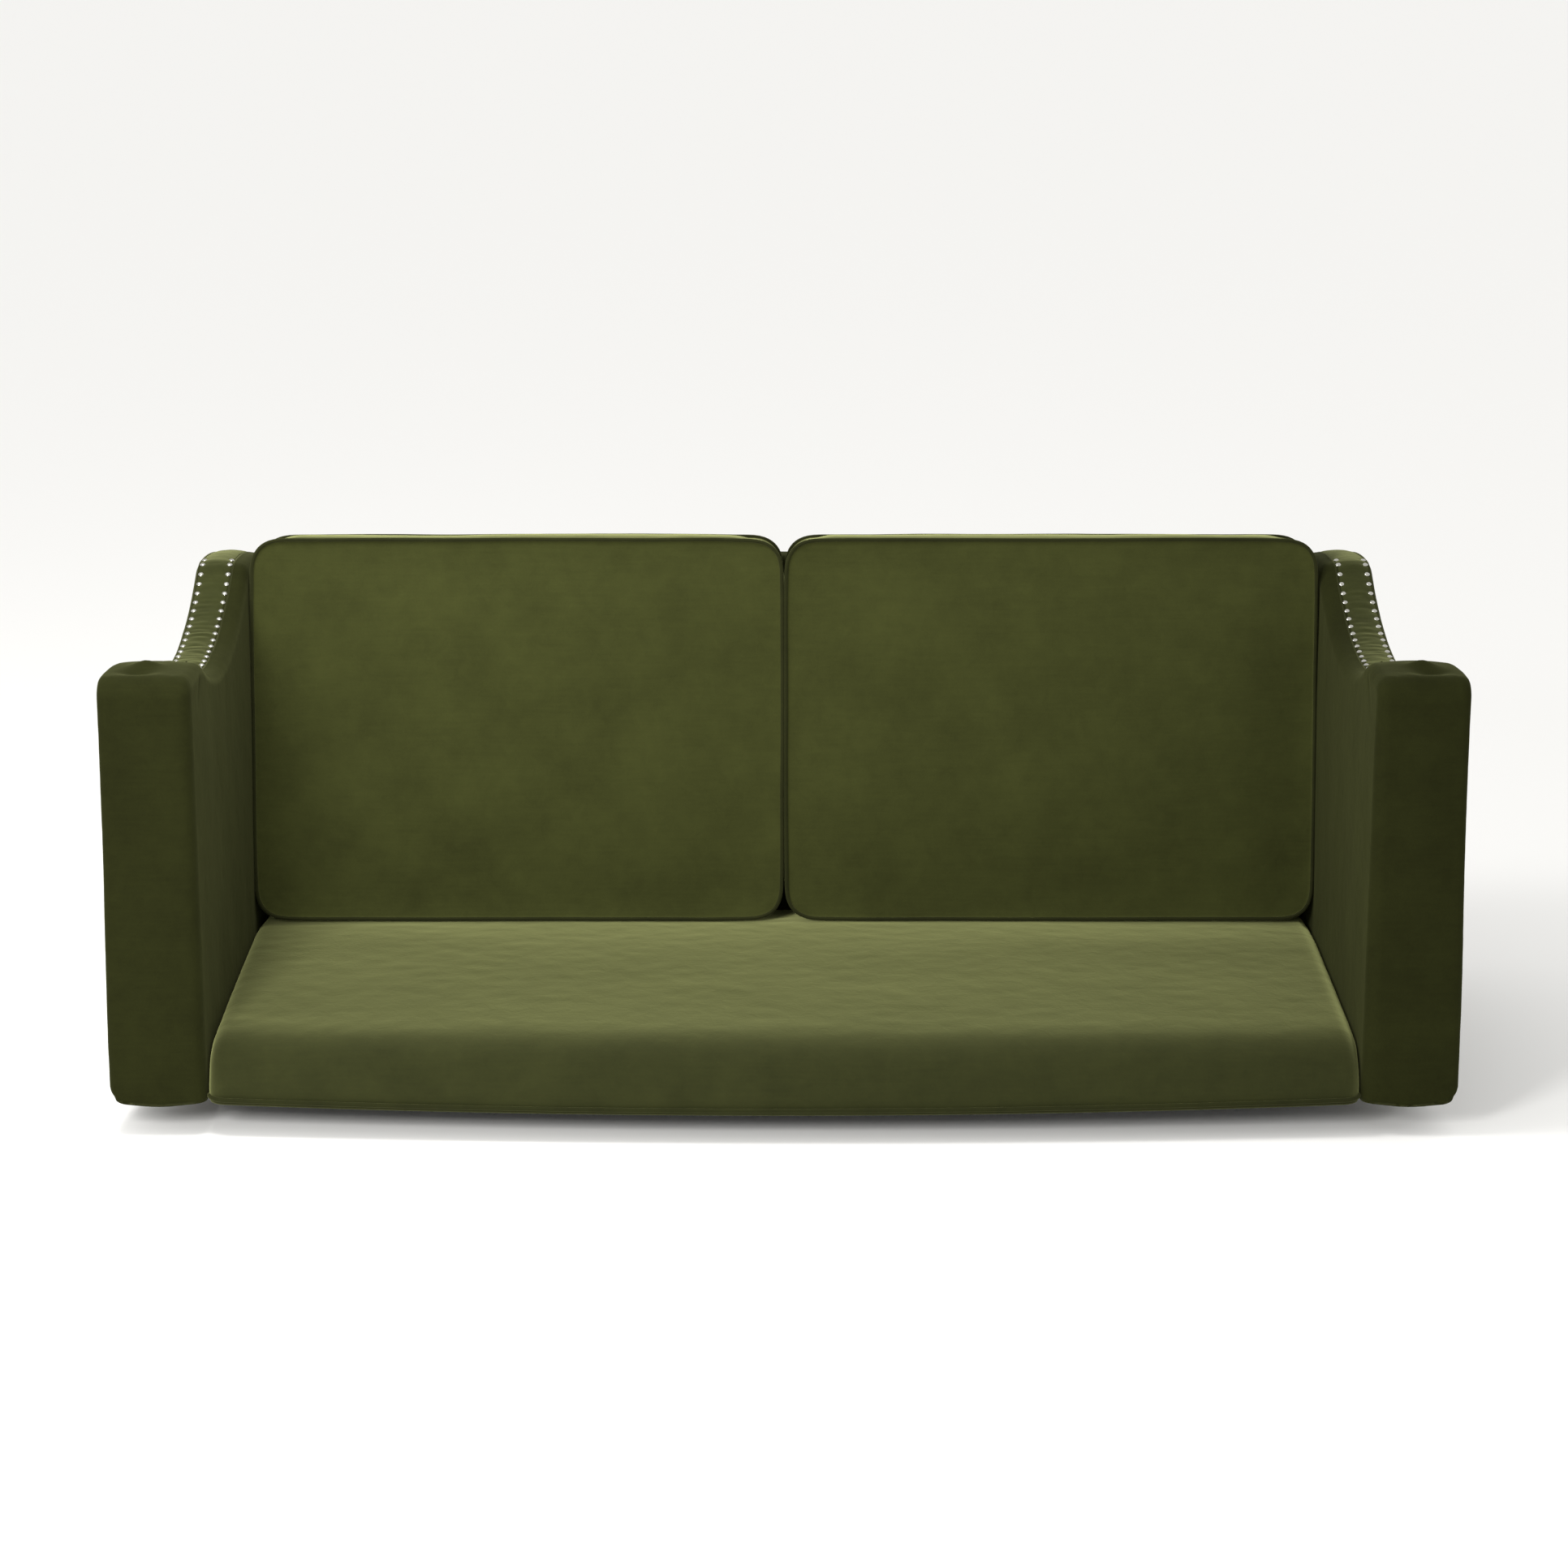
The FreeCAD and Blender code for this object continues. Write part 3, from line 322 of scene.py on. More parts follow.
# seat: a copy with a darker pile and a brighter sheen tint, painted light on its top and painted shade on its
# front, with a pressed spot at the left
seatVelvet = cottonVelvet("oliveVelvetSeatPaintedLight", {
    "pile": "#1b1d0b", "pileLight": "#2a2c14", "sheen": "#c6ca85", "sheenWeight": 0.9, "sheenRoughness": 0.44,
    "markMm": 11.0, "crushedAt": (-0.76, 0.0, 0.17), "crushedCore": 0.05, "crushedReach": 0.26,
    "crushedShare": 0.75,
})
# welts: a darker copy, painted shade along each seam
weltVelvet = cottonVelvet("biasCutVelvetPaintedShade", {"pile": "#191a0b", "pileLight": "#262811", "sheenWeight": 0.35})

# nailheads: bright points on the bands
nickel = twoToneFinish("polishedNickel", ("#a3a19a", "#bdbbb3"), 0.2, 4.0, metallic=1.0, bumpMm=0.03)
# bolts and clips: plain pale grey
zincSteel = twoToneFinish("zincPlatedSteel", ("#9a9c9e", "#b9bbbd"), 0.38, 3.0, metallic=1.0, bumpMm=0.05)
# springs: darker, slightly greasy steel
springSteel = twoToneFinish("oiledSpringSteel", ("#3a3c40", "#5a5c60"), 0.42, 3.0, metallic=1.0, bumpMm=0.05)
# zip sliders: a small warm glint
brass = twoToneFinish("lacqueredBrass", ("#a88a4a", "#c8a866"), 0.3, 2.0, metallic=1.0, bumpMm=0.03)
# zips: dyed to sink into the cloth
zipTeeth = twoToneFinish("mouldedZipTeeth", ("#23240f", "#31331a"), 0.45, 1.5, bumpMm=0.2)
# rails and posts: pale timber with the grain along x
beech = twoToneFinish("planedBeech", ("#b98f63", "#d3ad80"), 0.6, 9.0, (0.08, 1.0, 1.0), bumpMm=0.15)
# arm sides and boards: yellower sheet
birchPly = twoToneFinish("birchPlywood", ("#c9a878", "#dec498"), 0.65, 12.0, (1.0, 0.1, 0.4), bumpMm=0.1)
# feet: near black with the grain upright
walnutStain = twoToneFinish("walnutStainedBeech", ("#22150d", "#3b2718"), 0.4, 8.0, (1.0, 1.0, 0.1),
                            bumpMm=0.1)
# glides: flat charcoal
felt = twoToneFinish("pressedFelt", ("#2c2b29", "#403e3b"), 0.98, 2.0, bumpMm=0.4)
# dust cover: flat black under the seat
cambric = wovenFinish("blackCambric", ("#151515", "#262626"), 0.95, 1.6)
# spring cover: coarse brown cloth
burlap = wovenFinish("juteBurlap", ("#8a6f45", "#b3966a"), 0.95, 3.0)
# straps: tighter and paler than the spring cover
webbing = wovenFinish("juteWebbing", ("#9c8458", "#c4ac7e"), 0.9, 2.4)

finishOf = {
    "arm_nailheads": nickel, "arm_inner_side": birchPly, "arm_outer_side": birchPly, "arm_posts": beech,
    "arm_bottom_rail": beech, "arm_top_block": beech, "arm_flare_block": beech, "arm_bolts": zincSteel,
    "side_rail": beech, "front_rail": beech, "rear_rail": beech, "back_sill": beech, "middle_rail": beech,
    "foot_boards": birchPly, "feet": walnutStain, "foot_glides": felt, "foot_hanger_bolts": zincSteel,
    "dust_cover": cambric, "seat_springs": springSteel, "spring_clips": zincSteel, "seat_insulator": burlap,
    "back_uprights": beech, "back_top_rail": beech, "back_webbing": webbing, "cushion_zip": zipTeeth,
    "zip_slider": brass,
}
for name, node in nodes.items():
    word = name.split("_", 1)[1] if name.startswith(("left_", "right_")) else name
    for slot in node.material_slots:
        slot.material = finishOf.get(word, cushionVelvet)
print("materials made")

# arms

armLook = {
    "noseRound": mm(34), "dipY": mm(-97.5), "dipZ": mm(685), "fallRadius": mm(120), "hollowRadius": mm(385),
    "fallAngle": 28.2, "riseRadius": mm(661), "rollRadius": mm(52), "riseAngle": 30.7, "rearRadius": mm(900),
    "rearRound": mm(14), "flareBack": mm(-102.5), "flareRadius": mm(402.5), "flareAngle": 21.3,
    "innerRoll": (mm(22), mm(20), mm(10)),      # rounding of the inner edge: front, top, rear
    "outerRoll": (mm(13), mm(10), mm(8)),       # rounding of the outer edge
    "step": mm(6), "across": 22, "innerRows": 8, "outerRows": 7,
    "crown": mm(3), "footRound": mm(26), "footSpread": mm(7), "footBelly": mm(5),
    "innerSwell": mm(2.5), "outerSwell": mm(1.5), "frontSwell": mm(3.5), "crestDrop": mm(4),
    "foldHigh": mm(9), "hollowDeep": mm(8),
}
armLow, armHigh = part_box("right_arm_cover")
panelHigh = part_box("right_arm_outside_panel")[1]
armFront, armRear = armLow.y, armHigh.y
armInner, armWide = armLow.x, max(armHigh.x, panelHigh.x)
armBase = armLow.z


def arcRun(center, radius, start, stop, outward=1.0, count=90):
    # points and outward normals on an arc in the side view
    angles = np.radians(np.linspace(start, stop, count))
    direction = np.stack([np.cos(angles), np.sin(angles)], axis=1)
    return np.array(center) + radius * direction, direction * outward


def lineRun(start, stop, normal, count=60):
    t = np.linspace(0.0, 1.0, count)[:, None]
    points = np.array(start) * (1.0 - t) + np.array(stop) * t
    return points, np.repeat(np.array(normal, float)[None], count, axis=0)


def joinRuns(runs):
    # the runs of a side view as one line, without the points that two runs share
    points = np.concatenate([r[0] for r in runs])
    facing = np.concatenate([r[1] for r in runs])
    keep = np.ones(len(points), bool)
    keep[1:] = np.linalg.norm(np.diff(points, axis=0), axis=1) > 1e-7
    points, facing = points[keep], facing[keep]
    length = np.concatenate([[0.0], np.cumsum(np.linalg.norm(np.diff(points, axis=0), axis=1))])
    return points, facing, length


def armOutline(look):
    # the arm's side view from its front foot over the top to its rear foot
    fall = math.radians(look["fallAngle"])
    rise = math.radians(look["riseAngle"])
    reach = look["fallRadius"] + look["hollowRadius"]
    crestY = look["dipY"] - reach * math.sin(fall)
    crestZ = look["dipZ"] + reach * (1.0 - math.cos(fall))
    climb = look["riseRadius"] + look["rollRadius"]
    rollY = look["dipY"] + climb * math.sin(rise)
    topZ = look["dipZ"] + climb * (1.0 - math.cos(rise))
    nose, back, slope = look["noseRound"], look["rearRound"], look["rearRadius"]
    turn = math.asin((armRear - back - rollY) / (slope - back))
    cornerZ = topZ - slope + (slope - back) * math.cos(turn)
    turned = 90.0 - math.degrees(turn)
    runs = [
        lineRun((armFront, armBase), (armFront, crestZ - nose), (-1, 0)),
        arcRun((armFront + nose, crestZ - nose), nose, 180, 90),
        lineRun((armFront + nose, crestZ), (crestY, crestZ), (0, 1), 20),
        arcRun((crestY, crestZ - look["fallRadius"]), look["fallRadius"], 90, 90 - look["fallAngle"]),
        arcRun((look["dipY"], look["dipZ"] + look["hollowRadius"]), look["hollowRadius"],
               270 - look["fallAngle"], 270, -1),
        arcRun((look["dipY"], look["dipZ"] + look["riseRadius"]), look["riseRadius"],
               270, 270 + look["riseAngle"], -1),
        arcRun((rollY, topZ - look["rollRadius"]), look["rollRadius"], 90 + look["riseAngle"], 90),
        arcRun((rollY, topZ - slope), slope, 90, turned),
        arcRun((armRear - back, cornerZ), back, turned, 0, count=20),
        lineRun((armRear, cornerZ), (armRear, armBase), (1, 0)),
    ]
    points, facing, length = joinRuns(runs)
    # where the outline faces 45 degrees upwards, at the front corner and at the rear corner
    notFront = (points[:, 0] > armFront + 0.1) * 9
    notRear = (points[:, 0] < armRear - 0.1) * 9
    marks = {
        "nose": length[np.argmin(np.abs(facing[:, 0] + facing[:, 1]) + notFront)],
        "tail": length[np.argmin(np.abs(facing[:, 0] - facing[:, 1]) + notRear)],
    }
    return points, facing, length, marks


def sampleRun(points, facing, length, at):
    picked = np.stack([np.interp(at, length, points[:, k]) for k in (0, 1)], axis=1)
    normal = np.stack([np.interp(at, length, facing[:, k]) for k in (0, 1)], axis=1)
    return picked, normal / np.linalg.norm(normal, axis=1)[:, None]


def outerFace(y, look):
    # the outer side runs straight from the rear, then sweeps out to the wider front
    turn = math.radians(look["flareAngle"])
    half = look["flareRadius"] * math.sin(turn)
    narrow = armWide - 2.0 * look["flareRadius"] * (1.0 - math.cos(turn))
    depth = np.clip(look["flareBack"] - np.asarray(y, float), 0.0, 2.0 * half)
    near = look["flareRadius"] - np.sqrt(look["flareRadius"] ** 2 - np.minimum(depth, half) ** 2)
    far = look["flareRadius"] - np.sqrt(look["flareRadius"] ** 2 - np.minimum(2.0 * half - depth, half) ** 2)
    return narrow + np.where(depth < half, near, armWide - narrow - far)


def coonsPatch(bottom, top, left, right):
    # fills the side between its four edges, row by row
    rows, columns = len(left), len(bottom)
    u = np.linspace(0, 1, columns)[None, :, None]
    v = np.linspace(0, 1, rows)[:, None, None]
    across = (1 - u) * left[:, None] + u * right[:, None]
    upward = (1 - v) * bottom[None] + v * top[None]
    corners = ((1 - u) * (1 - v) * bottom[0] + u * (1 - v) * bottom[-1]
               + (1 - u) * v * top[0] + u * v * top[-1])
    return across + upward - corners


def buildArm(side, look):
    points, facing, length, marks = armOutline(look)
    rows = int(marks["nose"] / look["step"] / 1.4)
    columns = int((marks["tail"] - marks["nose"]) / look["step"])
    at = np.concatenate([np.linspace(0, marks["nose"], rows + 1)[:-1],
                         np.linspace(marks["nose"], marks["tail"], columns + 1)[:-1],
                         np.linspace(marks["tail"], length[-1], rows + 1)])
    spot, normal = sampleRun(points, facing, length, at)
    count = len(at)
    front = 1.0 - smoothStep(marks["nose"] - 0.05, marks["nose"] + 0.10, at)
    rear = smoothStep(marks["tail"] - 0.08, marks["tail"] - 0.005, at)

    def blendRoll(sizes):
        return sizes[0] * front + sizes[2] * rear + sizes[1] * (1 - front - rear)

    innerRoll = blendRoll(look["innerRoll"])
    outerRoll = blendRoll(look["outerRoll"])
    edge = armInner
    outer = outerFace(spot[:, 0], look)
    outer = np.where(at < marks["nose"], armWide, outer)
    strips = []
    for angle in np.radians(np.linspace(0, 90, look["innerRows"])):
        offset = spot + normal * (innerRoll * (math.sin(angle) - 1.0))[:, None]
        strips.append(np.column_stack([edge + innerRoll * (1 - math.cos(angle)), offset]))
    for t in np.linspace(0, 1, look["across"] + 1)[1:-1]:
        x = (edge + innerRoll) * (1 - t) + (outer - outerRoll) * t
        lift = look["crown"] * (1.0 - (2.0 * t - 1.0) ** 2) * (1.0 - 0.8 * front[:, None])
        strips.append(np.column_stack([x, spot + normal * lift]))
    for angle in np.radians(np.linspace(90, 0, look["outerRows"])):
        offset = spot + normal * (outerRoll * (math.sin(angle) - 1.0))[:, None]
        strips.append(np.column_stack([outer - outerRoll * (1 - math.cos(angle)), offset]))
    bands = np.stack(strips)

    def wall(edgeLine, outside):
        left = edgeLine[:rows + 1, 1:]
        top = edgeLine[rows:rows + columns + 1, 1:]
        right = edgeLine[rows + columns:, 1:][::-1]
        bottom = np.column_stack([np.linspace(left[0, 0], right[0, 0], columns + 1),
                                  np.full(columns + 1, left[0, 1])])
        grid = coonsPatch(bottom, top, left, right)
        y, z = grid[..., 0], grid[..., 1]
        x = outerFace(y, look) if outside else np.full(y.shape, edge)
        if outside:
            x = np.where(y < armFront + look["noseRound"], armWide, x)
        return np.stack([x, y, z], axis=-1)

    innerWall = wall(bands[0], False)
    outerWall = wall(bands[-1], True)
    verts = np.concatenate([innerWall.reshape(-1, 3), bands.reshape(-1, 3), outerWall.reshape(-1, 3)])
    wallCount = (rows + 1) * (columns + 1)
    faces = gridFaces(rows + 1, columns + 1, 0)
    faces += gridFaces(len(strips), count, wallCount, flip=True)
    faces += gridFaces(rows + 1, columns + 1, wallCount + bands.size // 3, flip=True)
    verts[:, 0] *= side
    return verts, faces


def armTucks(crest):
    # start, stop, width and depth of each tuck, on the right arm
    front = armFront - mm(2)
    return [
        ((0.931, crest, mm(745)), (0.944, front, mm(700)), mm(4.0), mm(2.6)),
        ((0.969, crest, mm(746)), (0.964, front, mm(712)), mm(3.6), mm(2.0)),
        ((1.031, crest, mm(746)), (1.038, front, mm(714)), mm(3.6), mm(2.0)),
        ((0.916, mm(-330), mm(725)), (0.912, mm(-372), mm(680)), mm(5.0), mm(1.6)),
        ((1.046, armFront, mm(86)), (1.060, armFront, mm(60)), mm(3.0), mm(1.5)),
        ((1.030, armFront, mm(78)), (1.041, armFront, mm(56)), mm(2.6), mm(1.2)),
    ]


def rollFoot(piece, side, look):
    co = positions(piece)
    x = co[:, 0] * side
    # lower outer edge rolled under
    radius = look["footRound"]
    wide = outerFace(co[:, 1], look)
    wide = np.where(co[:, 1] < armFront + mm(60), armWide, wide)
    dx = x - (wide - radius)
    dz = (armBase + radius) - co[:, 2]
    corner = (dx > 0) & (dz > 0)
    reach = np.maximum(dx, dz)
    far = np.hypot(dx, dz) + 1e-9
    x = np.where(corner, wide - radius + dx * reach / far, x)
    z = np.where(corner, armBase + radius - dz * reach / far, co[:, 2])
    # belly of the lower edge
    low = 1.0 - smoothStep(armBase, armBase + mm(60), z)
    middle = np.clip((x - armInner) / (armWide - armInner), 0, 1)
    z = z - low * look["footBelly"] * np.sin(math.pi * middle) ** 2
    setPositions(piece, np.column_stack([x * side, co[:, 1], z]))


def shapeArm(piece, side, look):
    rollFoot(piece, side, look)
    co = positions(piece)
    x = co[:, 0] * side
    # padding: faces swell a little between their edges
    swell = np.zeros(len(co))
    height = smoothStep(armBase, armBase + mm(120), co[:, 2]) * (1 - smoothStep(mm(560), mm(760), co[:, 2]))
    depth = smoothStep(armFront, armFront + mm(160), co[:, 1])
    depth = depth * (1 - smoothStep(armRear - mm(160), armRear, co[:, 1]))
    swell += np.where(x > armWide - mm(70), look["outerSwell"], look["innerSwell"]) * height * depth
    # the outside spreads towards the foot of the front
    spread = (1 - smoothStep(mm(120), mm(620), co[:, 2])) * smoothStep(mm(975), mm(1040), x)
    co[:, 0] += side * look["footSpread"] * spread * (1 - smoothStep(mm(-420), mm(-150), co[:, 1]))
    setPositions(piece, co)
    face = np.exp(-((co[:, 1] - armFront) / mm(12)) ** 2) * smoothStep(armBase, armBase + mm(90), co[:, 2])
    face *= 1 - smoothStep(mm(600), mm(700), co[:, 2])
    between = np.clip((x - armInner) / (armWide - armInner), 0, 1)
    swell += look["frontSwell"] * face * np.sin(math.pi * between)
    swell += mm(0.7) * ripple(co * (1, 1, 0.5), mm(70), 3 + side) + mm(0.25) * ripple(co, mm(22), 8 + side)
    # a fold on the crest, with a hollow in front of it
    top = smoothStep(mm(700), mm(735), co[:, 2])
    co[:, 2] -= look["crestDrop"] * top * (1 - smoothStep(mm(-330), mm(-270), co[:, 1]))
    setPositions(piece, co)
    fold = np.exp(-((x - 0.994) / 0.020) ** 2 - ((co[:, 1] - mm(-350)) / mm(13)) ** 2)
    hollow = np.exp(-((x - 1.002) / 0.024) ** 2 - ((co[:, 1] - mm(-388)) / mm(14)) ** 2)
    swell += top * (look["foldHigh"] * fold - look["hollowDeep"] * hollow)
    # tucks where the velvet turns over the front's edges
    for start, stop, width, deep in armTucks(armFront + mm(30)):
        start = np.array((start[0] * side, start[1], start[2]))
        stop = np.array((stop[0] * side, stop[1], stop[2]))
        swell -= deep * crease(co, start, stop, width)
        beside = np.array((width * 1.9 * side, 0, 0))
        swell += 0.45 * deep * crease(co, start + beside, stop + beside, width * 1.2)
    pushOut(piece, swell)


def closeFoot(piece):
    # folds the lower edge under and closes it
    work = bmesh.new()
    work.from_mesh(piece.data)
    rim = [e for e in work.edges if e.is_boundary]
    loop = bmesh.ops.extrude_edge_only(work, edges=rim)["geom"]
    fresh = [g for g in loop if isinstance(g, bmesh.types.BMVert)]
    middleX = sum(v.co.x for v in fresh) / len(fresh)
    for v in fresh:
        v.co.x += (middleX - v.co.x) * 0.12
        v.co.z = armBase + mm(1)
    bmesh.ops.holes_fill(work, edges=[e for e in work.edges if e.is_boundary], sides=0)
    bmesh.ops.recalc_face_normals(work, faces=work.faces)
    work.to_mesh(piece.data)
    work.free()
    piece.data.update()


for word, side in (("left", -1.0), ("right", 1.0)):
    verts, faces = buildArm(side, armLook)
    arm = addPiece(word + "ArmVelvet", verts, faces, "sofa_frame", armVelvet)
    welded(arm)
    shapeArm(arm, side, armLook)
    closeFoot(arm)
    for face in arm.data.polygons:
        face.use_smooth = True
    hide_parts(word + "_arm_cover", word + "_arm_outside_panel", word + "_arm_padding")
    print(arm.name, len(arm.data.polygons), "faces")

# bands along the arm tops

bandLook = {"width": mm(56), "lift": mm(2.4), "belly": mm(3.4), "step": mm(2), "across": 24, "pucker": mm(1.6),
            "endTuck": mm(14), "piping": mm(1.7)}
bandLow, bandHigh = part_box("right_arm_band")


def nailPlaces(node):
    # the middle of each nail's head, one for each pair across the band
    mesh = node.data
    owner = list(range(len(mesh.vertices)))

    def root(i):
        while owner[i] != i:
            owner[i] = owner[owner[i]]
            i = owner[i]
        return i

    for edge in mesh.edges:
        a, b = root(edge.vertices[0]), root(edge.vertices[1])
        owner[a] = b
    heads = {}
    for i, vertex in enumerate(mesh.vertices):
        heads.setdefault(root(i), []).append(tuple(vertex.co))
    middles = np.array([np.mean(head, axis=0) for head in heads.values()])
    row = middles[np.abs(middles[:, 0]) > np.median(np.abs(middles[:, 0]))]
    return row[np.argsort(row[:, 1])]


def bandRun(look):
    points, facing, length, marks = armOutline(armLook)
    ys = points[:, 0]
    begin = length[np.argmax((ys > bandLow.y + mm(2)) & (length > marks["nose"]))]
    end = length[np.argmax(ys > bandHigh.y - mm(4))]
    at = np.arange(begin, end, look["step"])
    spot, normal = sampleRun(points, facing, length, at)
    return at, spot, normal


def buildBand(side, look, nails):
    at, spot, normal = bandRun(look)
    centre = (bandLow.x + bandHigh.x) / 2
    away = np.min(np.linalg.norm(spot[:, None] - nails[None, :, 1:], axis=2), axis=1)
    held = np.exp(-(away / mm(6)) ** 2)     # 1 beside a nail, 0 between two
    endTuck = smoothStep(0, look["endTuck"], at - at[0]) * smoothStep(0, mm(10), at[-1] - at)
    low = 1.0 - 0.6 * smoothStep(mm(0), mm(250), spot[:, 0])
    rows = []
    for t in np.linspace(-1, 1, look["across"] + 1):
        x = np.full(len(at), centre + t * look["width"] / 2)
        inside = 1 - abs(t) ** 6
        nearRow = math.exp(-((abs(t) - 0.82) / 0.22) ** 2)
        # the velvet dips at each nail and gathers in small ridges between the rows
        probe = np.column_stack([x * side * 0.3, spot])
        gather = mm(1.5) * low * ripple(probe, mm(10), 5 + side) * (1 - 0.5 * abs(t))
        dips = (gather - look["pucker"] * nearRow * held) * inside
        lift = look["lift"] * inside + look["belly"] * (1 - t * t) + dips
        rise = mm(-3) + (lift + mm(3)) * endTuck
        rows.append(np.column_stack([x * side, spot + normal * rise[:, None]]))
    grid = np.stack(rows)
    return grid.reshape(-1, 3), gridFaces(len(rows), len(at), flip=side > 0)


def buildBandEdges(side, look):
    # a thin cord along both long edges of the band, in the welts' darker copy: painted shade for the dark line
    # at each edge
    at, spot, normal = bandRun(look)
    centre = (bandLow.x + bandHigh.x) / 2
    paths = []
    for t in (-1, 1):
        x = np.full(len(at), (centre + t * (look["width"] / 2 + mm(0.6))) * side)
        paths.append(np.column_stack([x, spot + normal * mm(0.6)])[::3])
    return paths


for word, side in (("left", -1.0), ("right", 1.0)):
    nails = nailPlaces(nodes[word + "_arm_nailheads"])
    verts, faces = buildBand(side, bandLook, nails)
    band = addPiece(word + "ArmBandVelvet", verts, faces, "sofa_frame", bandVelvet)
    welded(band)
    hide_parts(word + "_arm_band")
    for label, path in zip(("Inner", "Outer"), buildBandEdges(side, bandLook)):
        tubeAlong(word + "ArmBandCord" + label, path, bandLook["piping"], False,
                  "sofa_frame", weltVelvet, 8)
    print(band.name, "held by", 2 * len(nails), "nails")
print("bands laid")

# seat

seatLook = {
    "roll": mm(76), "crown": mm(10), "step": mm(7), "bow": mm(34), "endRound": mm(26), "hang": mm(7),
    "soften": 30, "columnStep": mm(9), "crestY": mm(100), "edgeDrop": mm(20),
    "weltRadius": mm(3.8), "weltForward": mm(2.2),
    # drop and set-back of each row of the lip under the welt
    "lip": ((0, mm(1)), (mm(3), mm(-1.5)), (mm(6), mm(-1.5)), (mm(9), mm(1.5)),
            (mm(10.5), mm(8)), (mm(10.5), mm(30))),
}
seatLow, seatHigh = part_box("seat_cover")
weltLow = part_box("seat_front_welt")[0]


def seatOutline(look):
    # side view from under the back cushions forward, over the front edge, down to the welt
    front = seatLow.y
    frontTop = seatHigh.z - look["edgeDrop"]
    crestY, crestZ = look["crestY"], seatHigh.z - mm(1)
    roll = look["roll"]
    slope = math.atan2(crestZ - frontTop, crestY - front)
    runs = [
        lineRun((seatHigh.y, seatHigh.z - mm(16)), (crestY + mm(60), crestZ - mm(2)), (0, 1), 40),
        lineRun((crestY + mm(60), crestZ - mm(2)), (crestY - mm(60), crestZ - mm(1)), (0, 1), 20),
        lineRun((crestY - mm(60), crestZ - mm(1)), (front + roll, frontTop),
                (-math.sin(slope), math.cos(slope)), 60),
        arcRun((front + roll, frontTop - roll), roll, 90, 180),
        lineRun((front, frontTop - roll), (front, weltLow.z), (-1, 0), 30),
    ]
    return joinRuns(runs)


def buildSeat(look):
    points, facing, length = seatOutline(look)
    at = np.linspace(0, length[-1], int(length[-1] / look["step"]) + 1)
    spot, normal = sampleRun(points, facing, length, at)
    for _ in range(look["soften"]):     # lets the top flow into the front without a line
        spot[1:-3] = 0.5 * spot[1:-3] + 0.25 * (spot[:-4] + spot[2:-2])
        normal[1:-3] = 0.5 * normal[1:-3] + 0.25 * (normal[:-4] + normal[2:-2])
    normal /= np.linalg.norm(normal, axis=1)[:, None]
    half = seatHigh.x
    bend = look["endRound"]
    xs = np.linspace(-half + bend, half - bend, 2 * int((half - bend) / look["columnStep"]) + 1)
    ends = [(math.sin(a) * bend, (1 - math.cos(a)) * bend) for a in np.radians(np.linspace(0, 90, 7))][1:]
    tail = [(bend, bend + d) for d in (mm(10), mm(22))]
    right = [(half - bend + dx, drop) for dx, drop in ends + tail]
    left = [(-x, drop) for x, drop in right][::-1]
    columns = left + [(x, 0.0) for x in xs] + right
    grid = np.empty((len(columns), len(at), 3))
    for i, (x, drop) in enumerate(columns):
        u = x / half
        crown = look["crown"] * (1 - abs(u) ** 4) * np.sin(math.pi * np.clip(at / length[-1], 0, 1) ** 0.8)
        low = spot + normal * (crown - drop)[:, None]
        bow = look["bow"] * u * u * (1 - smoothStep(mm(-420), mm(150), spot[:, 0]))
        hang = look["hang"] * (1 - u * u) * (1 - smoothStep(weltLow.z, seatHigh.z - mm(40), spot[:, 1]))
        grid[i, :, 0] = x
        grid[i, :, 1] = low[:, 0] + bow
        grid[i, :, 2] = low[:, 1] - hang
    faces = gridFaces(len(columns), len(at), flip=True)
    return grid, faces


seatGrid, faces = buildSeat(seatLook)
seat = addPiece("seatVelvet", seatGrid.reshape(-1, 3), faces, "sofa_frame", seatVelvet)
welded(seat)
co = positions(seat)
soft = mm(1.6) * ripple(co * (0.6, 1, 1), mm(160), 11) + mm(0.5) * ripple(co * (1, 1.6, 1), mm(40), 12)
pushOut(seat, soft)
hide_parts("seat_cover", "seat_foam")
print("seat covered")

# welt and lip along the lower front of the seat, both in the welts' darker copy: painted shade
frontEdge = seatGrid[:, -1, :]
weltPath = (frontEdge + np.array((0, -seatLook["weltForward"], 0)))[2:-2]
seatWelt = tubeAlong("seatFrontWeltVelvet", weltPath, seatLook["weltRadius"], False,
                     "sofa_frame", weltVelvet)
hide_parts("seat_front_welt")
lipRows = []
for drop, setBack in seatLook["lip"]:
    row = frontEdge.copy()
    row[:, 1] += setBack
    row[:, 2] -= drop
    lipRows.append(row)
addPiece("seatFrontLip", np.concatenate(lipRows), gridFaces(len(lipRows), len(frontEdge), flip=True),
         "sofa_frame", weltVelvet)
print("seat welt laid")

# back

backLook = {
    "roll": mm(22), "lean": 8.0, "leanFrom": mm(168), "step": mm(8), "columnStep": mm(10), "slope": mm(300),
}
backLow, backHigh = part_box("back_cover")
outLow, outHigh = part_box("outside_back_panel")


